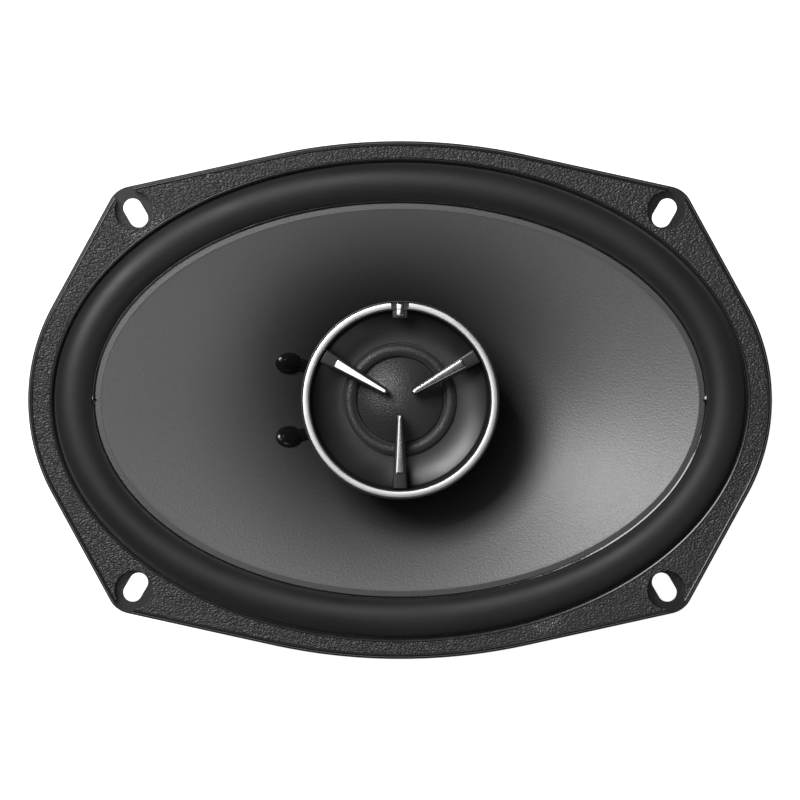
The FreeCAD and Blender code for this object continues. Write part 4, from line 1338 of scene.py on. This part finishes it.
def inset_loop(loop, inset):
    """A loop moved inwards along its own normals."""
    run = np.roll(loop, -1, axis=0) - np.roll(loop, 1, axis=0)
    normal = np.stack([run[:, 1], -run[:, 0]], axis=1) / np.linalg.norm(run, axis=1, keepdims=True)
    return loop - inset * normal


def slab(loop, low, high, ease):
    """A flat plate with eased edges: the loop carried up with its inset following a quarter round."""
    t = np.linspace(0, np.pi / 2, 4)
    inset = ease * (1 - np.sin(t))
    rise = ease * (1 - np.cos(t))
    rows_low = [raised(inset_loop(loop, i), low + d) for i, d in zip(inset, rise)]
    rows_high = [raised(inset_loop(loop, i), high - d) for i, d in zip(inset[::-1], rise[::-1])]
    return sheet_part(np.array(rows_low + rows_high), capped=True)


BOARD_ENDS = (-74.0, -46.0)
BOARD_HALF = 14.0
BOARD_UNDER, BOARD_TOP, BLADE_TOP = -40.2, -38.2, -37.4
board_loop = soften(rectangle(*BOARD_ENDS, -BOARD_HALF, BOARD_HALF), 2.2)
board = build("terminal_board_plate", [slab(board_loop, BOARD_UNDER, BOARD_TOP, 0.25)])
phenolic = finish_of(
    "phenolic",
    (0.03, 0.03, 0.031),
    roughness=0.45,
    grain=(1100.0, 0.00008),
    slow=120.0,
    worn=(0.1, 0.1, 0.1),
)
fit(board, "basket", "board", phenolic, "terminal_board")

TERMINAL_ROW = 9.0
BLADE_TIP, BLADE_SHOULDER, BLADE_ROOT = -84.0, -82.8, -64.0
BLADE_CHAMFER = 0.9
BLADE_HOLE = (-79.5, 0.8)
EYELET_X = -70.5

tin = finish_of(
    "tin_plate",
    (0.72, 0.7, 0.64),
    roughness=0.28,
    metallic=1.0,
    grain=(1500.0, 0.00003),
    slow=250.0,
)
for name, sign, width in (("terminal_positive", 1, 4.75), ("terminal_negative", -1, 2.8)):
    middle, edge = sign * TERMINAL_ROW, width / 2
    one_side = [(BLADE_TIP, edge - BLADE_CHAMFER), (BLADE_SHOULDER, edge), (BLADE_ROOT, edge)]
    blade_corners = [(x, middle - y) for x, y in one_side]
    blade_corners += [(x, middle + y) for x, y in one_side[::-1]]
    blade = build(
        name + "_blade", [slab(soften(blade_corners, 0.3, 3), BOARD_TOP, BLADE_TOP, 0.12)]
    )
    hole_x, hole_radius = BLADE_HOLE
    hole_loop = arc(hole_radius, count=24) + (hole_x, middle)
    punch(blade, [prism(name + "_drill", hole_loop, -40.0, -35.0)])
    fit(blade, "basket", "tinned_brass", tin, name)

eyelet_profile = soften(
    [
        (0.5, BOARD_UNDER - 0.5),
        (1.3, BOARD_UNDER - 0.5),
        (1.3, BOARD_UNDER),
        (1.0, BOARD_UNDER),
        (1.0, BLADE_TOP),
        (1.3, BLADE_TOP),
        (1.3, BLADE_TOP + 0.5),
        (0.5, BLADE_TOP + 0.5),
    ],
    0.12,
    3,
)


def pair_at(x):
    """A place on each terminal's line."""
    return [(x, TERMINAL_ROW), (x, -TERMINAL_ROW)]


eyelet_parts = dotted(eyelet_profile, pair_at(EYELET_X), round_rows=True)
eyelets = build("terminal_eyelet_pair", eyelet_parts)
fit(eyelets, "basket", "tinned_brass", tin, "terminal_eyelets")

solder_profile = [
    (0.0, -35.9),
    (0.7, -36.0),
    (1.15, -36.5),
    (1.5, -37.0),
    (2.0, -37.38),
    (0.0, -37.42),
]
solder = build("lead_solder_joints", dotted(solder_profile, pair_at(LEAD_ROUTE[0][0])), 60.0)
fit(solder, "basket", "tinned_brass", tin)

board_rivet_profile = [
    (0.0, -41.1),
    (1.5, -41.0),
    (2.3, -40.4),
    (2.3, -40.2),
    (1.3, -40.2),
    (1.3, -37.0),
    (2.3, -37.0),
    (2.3, -36.7),
    (1.5, -36.2),
    (0.0, -36.1),
]
board_rivets = build("board_rivet_pair", dotted(board_rivet_profile, pair_at(-49.7)))
fit(board_rivets, "basket", "plated_steel", zinc, "board_rivets")

CAN_X, CAN_Z = -63.0, -45.3
CAN_RADIUS = 5.0
CAN_END = 10.5
CAN_SHOULDER = 4.4
can_profile = soften(
    [
        (0.0, -CAN_END),
        (CAN_SHOULDER, -CAN_END),
        (CAN_RADIUS, -CAN_END + 0.5),
        (CAN_RADIUS, CAN_END - 3.4),
        (4.35, CAN_END - 2.8),
        (CAN_RADIUS, CAN_END - 2.2),
        (CAN_RADIUS, CAN_END - 0.4),
        (CAN_SHOULDER, CAN_END),
        (0.0, CAN_END),
    ],
    0.35,
    3,
    closed=False,
)
can_grid = turned_grid(can_profile, 48)[..., [0, 2, 1]] + np.array([CAN_X, 0, CAN_Z])
capacitor = build("capacitor_can", [sheet_part(can_grid)])
sleeve = finish_of(
    "capacitor_sleeve",
    (0.03, 0.1, 0.32),
    roughness=0.3,
    grain=(500.0, 0.00005),
    slow=200.0,
    worn=(0.2, 0.3, 0.5),
)
fit(capacitor, "basket", "capacitor_film", sleeve, "crossover_capacitor")

CAN_LEADS = [
    # one to the positive terminal's eyelet, one to the tweeter's wire
    [
        (CAN_X, CAN_END, CAN_Z),
        (CAN_X, 12.4, CAN_Z),
        (-64.5, 12.6, -43.0),
        (-70.0, 10.5, -41.2),
        (EYELET_X, TERMINAL_ROW, -40.8),
    ],
    [
        (CAN_X, -CAN_END, CAN_Z),
        (CAN_X, -12.4, CAN_Z),
        (-60.5, -12.6, -43.0),
        (-56.5, -6.0, -41.4),
        (-54.6, -0.9, -41.2),
    ],
]
can_lead_tubes = [
    tube_grid(soften(path, 0.8, closed=False), 0.3, 10, up=(0.3, 0.2, 1)) for path in CAN_LEADS
]
cap_leads = build("capacitor_leads", [sheet_part(tube, capped=True) for tube in can_lead_tubes])
fit(cap_leads, "basket", "tinned_brass", tin)

# ------------------------------------------------------------------ tweeter wires
# Two insulated wires leave the board, run down the magnet's side, along the groove in the back plate
# and up through the hollow pole and post to the tweeter. The groove and the bore hold them.

WIRE_ROUTE = [(-54.0, -40.3), (-54.0, -77.4), (0.0, -77.4), (0.0, -7.4)]
WIRE_OFFSET = 0.75
WIRE_RADIUS = 0.6
WIRE_BEND = 5.0
for name, sign, slot, colour in (
    ("tweeter_wire_positive", 1, "wire_red", (0.38, 0.012, 0.012)),
    ("tweeter_wire_negative", -1, "wire_black", (0.02, 0.02, 0.021)),
):
    route = [(along, sign * WIRE_OFFSET, height) for along, height in WIRE_ROUTE]
    line = even_line(soften(route, WIRE_BEND, 12, closed=False), 200)
    wire = build(name + "_sleeve", [sheet_part(tube_grid(line, WIRE_RADIUS, 14), capped=True)])
    insulation = finish_of(
        slot + "_pvc", colour, roughness=0.35, grain=(900.0, 0.00003), slow=400.0
    )
    fit(wire, "basket", slot, insulation, name)

# ------------------------------------------------------------------ tweeter post, nut and housing
# A turned aluminium post stands in the pole and clamps the tweeter's moulded housing with a steel nut.
# The housing is a tapering cup of black plastic with a grip line below its rim.

post_profile = soften(
    [
        (2.6, -66.0),
        (4.5, -66.0),
        (4.5, POLE_TOP),
        (6.0, POLE_TOP),
        (6.0, -14.0),
        (9.0, -14.0),
        (9.0, -12.0),
        (4.5, -12.0),
        (4.5, -7.0),
        (2.6, -7.0),
    ],
    (0.4, 0.5, 0.3, 0.4, 0.8, 0.5, 0.4, 0.3, 0.4, 0.3),
)
post = turned("post_turned", post_profile, 96)
bare_aluminium = finish_of(
    "turned_aluminium", (0.62, 0.62, 0.63), roughness=0.3, metallic=1.0, slow=160.0, mottle=0.12
)
aluminium = lathe_marked(bare_aluminium, 6000.0, 0.00003)
fit(post, "basket", "post_metal", aluminium, "tweeter_post")

NUT_CORNERS = 7.8
NUT_BORE = 4.52
nut_under, nut_top = -10.0, -7.2
hexagon = soften(arc(NUT_CORNERS, count=6), 0.8, 3)
nut = build("post_hex_nut", [slab(hexagon, nut_under, nut_top, 0.35)])
punch(nut, [prism("nut_bore", arc(NUT_BORE, count=40), nut_under - 2.0, nut_top + 2.2)])
fit(nut, "basket", "plated_steel", zinc, "post_nut")

housing_profile = soften(
    [
        (4.55, -12.0),
        (22.0, -12.0),
        (30.9, 2.0),
        (30.9, 8.2),
        (30.4, 8.6),
        (30.4, 9.4),
        (30.9, 9.8),
        (30.9, 11.0),
        (28.9, 11.0),
        (28.9, 2.0),
        (20.0, -10.0),
        (16.5, -10.0),
        (16.5, -6.0),
        (8.6, -6.0),
        (8.6, -10.0),
        (4.55, -10.0),
    ],
    (0.3, 2.0, 3.0, 0.2, 0.2, 0.2, 0.2, 0.2, 0.2, 2.0, 1.0, 0.4, 0.4, 0.4, 0.4, 0.3),
    4,
)
housing = turned("housing_cup", housing_profile, 160)
satin_black = finish_of(
    "satin_black_plastic",
    (0.018, 0.018, 0.019),
    roughness=0.36,
    grain=(1800.0, 0.00004),
    slow=60.0,
    mottle=0.15,
    worn=(0.07, 0.07, 0.072),
    wear=(0.54, 0.7),
)
fit(housing, "basket", "black_plastic", satin_black, "tweeter_housing")

# ------------------------------------------------------------------ tweeter motor
# A steel cup with a nickel-plated neodymium disc and a pole disc inside it, and a moulded ring that
# carries the diaphragm. The coil's former hangs from the dome into the gap.

YOKE_UNDER, MAGNET_UNDER, DISC_UNDER, DISC_TOP = -6.0, -3.5, 1.5, 4.5
yoke_profile = [
    (0.0, YOKE_UNDER),
    (17.5, YOKE_UNDER),
    (17.5, DISC_TOP),
    (14.2, DISC_TOP),
    (14.2, MAGNET_UNDER),
    (0.0, MAGNET_UNDER),
]
magnet_profile = rectangle(0.0, 11.6, MAGNET_UNDER, DISC_UNDER)
disc_profile = rectangle(0.0, 12.3, DISC_UNDER, DISC_TOP)
for name, profile, slot, finish, node_name in (
    ("yoke_cup", yoke_profile, "plated_steel", zinc, "tweeter_yoke"),
    ("disc_magnet", magnet_profile, "nickel", tin, "tweeter_magnet"),
    ("pole_disc", disc_profile, "plated_steel", zinc, "tweeter_pole_disc"),
):
    eased = soften(profile, 0.35, 3, closed=False)
    fit(build(name, [sheet_part(turned_grid(eased, 96))]), "basket", slot, finish, node_name)

carrier = turned("diaphragm_carrier", soften(rectangle(17.8, 22.6, 5.0, 6.6), 0.3, 3))
fit(carrier, "basket", "black_plastic", satin_black, "diaphragm_ring")

tweeter_former = turned("tweeter_former", rectangle(12.9, 13.0, 1.6, 6.3), 96)
fit(tweeter_former, "tweeter_diaphragm", "former", amber_film, "tweeter_coil_former")
fine_profile = coil_profile(13.01, 13.2, 0.1, 1.6, 4.8, turns=16, steps=96)
fine_winding = turned("tweeter_winding", fine_profile, 96, 60.0)
fit(fine_winding, "tweeter_diaphragm", "copper", copper, "tweeter_coil_winding")

# ------------------------------------------------------------------ tweeter dome and roll
# A dome of coated silk with a half roll of the same cloth round it, glued to the carrier ring.

DOME_RADIUS = 13.6
DOME_SPHERE = 24.2
DOME_BASE = 6.6
DOME_SKIN = 0.3

# The dome is part of a sphere, from the top down to where its radius reaches DOME_RADIUS.
dome_sweep = np.linspace(0, np.arcsin(DOME_RADIUS / DOME_SPHERE), 28)
dome_centre = DOME_BASE - np.sqrt(DOME_SPHERE**2 - DOME_RADIUS**2)
dome_outside = np.column_stack(
    [DOME_SPHERE * np.sin(dome_sweep), dome_centre + DOME_SPHERE * np.cos(dome_sweep)]
)
dome_inside = (dome_outside - (0, DOME_SKIN))[::-1]
dome_profile = np.concatenate([dome_outside, dome_inside])
dome = build("silk_dome", [sheet_part(turned_grid(dome_profile))], 50.0)
silk = woven(
    finish_of(
        "coated_silk", (0.02, 0.02, 0.021), roughness=0.42, Sheen_Weight=0.2, Sheen_Roughness=0.5
    ),
    1150.0,
    0.00022,
    (0.016, 0.016, 0.0165),
    (0.032, 0.032, 0.033),
)
pebbled(silk, 2100.0, 0.0001)
fit(dome, "tweeter_diaphragm", "dome_cloth", silk, "tweeter_dome")

SILK_ROLL_MIDDLE = 15.95
SILK_ROLL_OVER = (2.05, 1.85)
SILK_ROLL_UNDER = (-1.75, 1.7)
SILK_FOOT = 19.6
silk_turn = np.linspace(0, np.pi, 17)
silk_over, silk_under = (
    np.column_stack([half * np.cos(silk_turn), rise * np.sin(silk_turn)]) + (SILK_ROLL_MIDDLE, base)
    for (half, rise), base in ((SILK_ROLL_OVER, DOME_BASE + DOME_SKIN), (SILK_ROLL_UNDER, DOME_BASE))
)
silk_foot = [(SILK_FOOT, DOME_BASE), (SILK_FOOT, DOME_BASE + DOME_SKIN)]
silk_section = np.concatenate([silk_foot, silk_over, silk_under])
tweeter_roll = turned("silk_roll", silk_section, crease=50.0)
dress(tweeter_roll, "dome_cloth", silk, "tweeter_roll")
ring_blend(tweeter_roll, round_reach)

# ------------------------------------------------------------------ bezel
# The moulded front of the tweeter: a rounded rim, a groove for the bright ring, a smooth bowl down to
# the dome, and three fins that reach in over the dome and guard it.

BOWL_STEP = (27.6, 9.45)
THROAT = (18.2, 7.3)
BOWL_FULLNESS = 2.2

BEZEL_RADIUS = 31.4
BEZEL_TOP = 16.0
GROOVE = (28.85, 30.85)
GROOVE_FLOOR = 15.2

# The bowl sweeps in from its step to the throat, its height falling as (1 - s) to BOWL_FULLNESS.
sweep_in = np.linspace(0, 1, 26)
bowl_sweep = np.column_stack(
    [
        BOWL_STEP[0] + (THROAT[0] - BOWL_STEP[0]) * sweep_in,
        THROAT[1] + (BOWL_STEP[1] - THROAT[1]) * (1 - sweep_in) ** BOWL_FULLNESS,
    ]
)
bowl_wall = [(28.6, BEZEL_TOP), (28.25, 14.0), (27.95, 10.5), (27.85, 9.8)]
bezel_rim = soften(
    [
        (22.8, THROAT[1]),
        (22.8, 5.0),
        (25.2, 5.0),
        (GROOVE[0], 10.4),
        (GROOVE[0], 11.0),
        (BEZEL_RADIUS, 11.0),
        (BEZEL_RADIUS, BEZEL_TOP),
        (GROOVE[1], BEZEL_TOP),
        (GROOVE[1], GROOVE_FLOOR),
        (GROOVE[0], GROOVE_FLOOR),
        (GROOVE[0], BEZEL_TOP),
    ],
    (0.1, 0.2, 0.3, 0.2, 0.1, 0.4, 0.75, 0.1, 0.1, 0.1, 0.12),
    4,
    closed=False,
)
bezel = turned("bezel_bowl", np.concatenate([bezel_rim, bowl_wall, bowl_sweep]), 256, 50.0)
bowl_satin = finish_of(
    "bowl_satin_plastic",
    (0.014, 0.014, 0.0155),
    roughness=0.34,
    grain=(2600.0, 0.00002),
    slow=80.0,
    mottle=0.12,
    Specular_IOR_Level=0.6,
)
fit(bezel, "basket", "black_plastic", bowl_satin, "tweeter_bezel")

FIN_ANGLES = np.radians([30, 150, 270])
FIN_REACH = (28.4, 4.3)
FIN_WIDTH = (5.0, 2.2)
FIN_TOP = 15.2
FIN_BOTTOM = 12.0
TIP_SHARE = 0.06
ROOT_SHARE = 0.03


def bar_grid(reach, width, low, high, rounding, climb=0.0, rows=48, columns=40):
    """A tapered bar along X: a superellipse section, rounded ends and a top that climbs to the tip.

    Each end closes as a quarter circle over its share of the length; the height closes faster.
    """
    s = np.linspace(0, 1, rows)[:, None]
    t = np.linspace(0, 2 * np.pi, columns, endpoint=False)
    tip = np.sqrt(1 - np.clip((s - 1 + TIP_SHARE) / TIP_SHARE, 0, 1) ** 2)
    root = np.sqrt(1 - np.clip((ROOT_SHARE - s) / ROOT_SHARE, 0, 1) ** 2)
    closing = tip * root
    half_width = (width[0] + (width[1] - width[0]) * s) / 2 * closing
    top = high + climb * s
    half_height = (top - low) / 2 * closing**0.3
    x = reach[0] + (reach[1] - reach[0]) * s + 0 * t
    y = half_width * blunted(np.cos(t), rounding)
    z = (low + top) / 2 + half_height * blunted(np.sin(t), rounding)
    return np.stack([x, y, z], axis=-1)


def three_ways(grid):
    """The same bar turned to each fin's angle."""
    x, y, z = np.moveaxis(grid, -1, 0)
    return [
        sheet_part(np.stack([*turned_by(x, y, angle), z], axis=-1)) for angle in FIN_ANGLES
    ]


# A short tab at the top of the bowl carries the index bar.
tab_loop = soften(rectangle(-2.4, 2.4, 25.8, 28.9), 0.7)
fins = build(
    "bezel_fins",
    three_ways(bar_grid(FIN_REACH, FIN_WIDTH, FIN_BOTTOM, FIN_TOP, 0.35))
    + [slab(tab_loop, FIN_BOTTOM, FIN_TOP, 0.3)],
)
fit(fins, "basket", "black_plastic", satin_black)

# ------------------------------------------------------------------ bright trim
# Vacuum-plated plastic: three tapered strips let into the fins, a ring in the bezel's groove with a
# gap at the top, and a plain rounded bar in the gap.

chrome = finish_of(
    "bright_plating",
    (0.86, 0.86, 0.87),
    roughness=0.12,
    metallic=1.0,
    grain=(400.0, 0.000006),
    slow=120.0,
    mottle=0.06,
)
satin_plating = finish_of(
    "satin_plating",
    (0.78, 0.78, 0.79),
    roughness=0.38,
    metallic=1.0,
    grain=(900.0, 0.000003),
    slow=120.0,
    mottle=0.08,
)
STRIP_REACH = (23.6, 4.6)
STRIP_WIDTH = (2.8, 1.1)
strip = bar_grid(STRIP_REACH, STRIP_WIDTH, FIN_TOP - 0.3, FIN_TOP + 0.25, rounding=0.3, climb=0.7)
inlays = build("fin_bright_strips", three_ways(strip))
fit(inlays, "basket", "chrome", chrome, "fin_inlays")

RING_GAP = 2.8
RING_MIDDLE = 29.85
RING_HALF = 0.92
RING_UNDER, RING_SHOULDER, RING_TOP = 15.25, 15.95, 16.13
over_ring = np.linspace(1, -1, 9)
ring_section = np.concatenate(
    [
        [(-RING_HALF, RING_SHOULDER), (-RING_HALF, RING_UNDER)],
        [(RING_HALF, RING_UNDER), (RING_HALF, RING_SHOULDER)],
        np.column_stack([0.82 * over_ring, RING_TOP - 0.07 * over_ring**2]),
    ]
)
ring_radius = RING_MIDDLE + ring_section[:, 0]
ring_path = np.column_stack([ring_radius, ring_radius, ring_section[:, 1]])
gap_angle = RING_GAP / RING_MIDDLE
ring_sweep = oval_grid(
    ring_path, 240, np.pi / 2 + gap_angle, 2 * np.pi - 2 * gap_angle, closed=False
)
ring = build("bezel_bright_ring", [sheet_part(ring_sweep.transpose(1, 0, 2), capped=True)])
fit(ring, "basket", "chrome", satin_plating, "bright_ring")

mark_loop = soften(rectangle(-1.2, 1.2, 26.4, 30.6), 0.9)
mark = build("ring_index_bar", [slab(mark_loop, GROOVE_FLOOR, BEZEL_TOP, 0.25)])
fit(mark, "basket", "chrome", chrome, "index_mark")
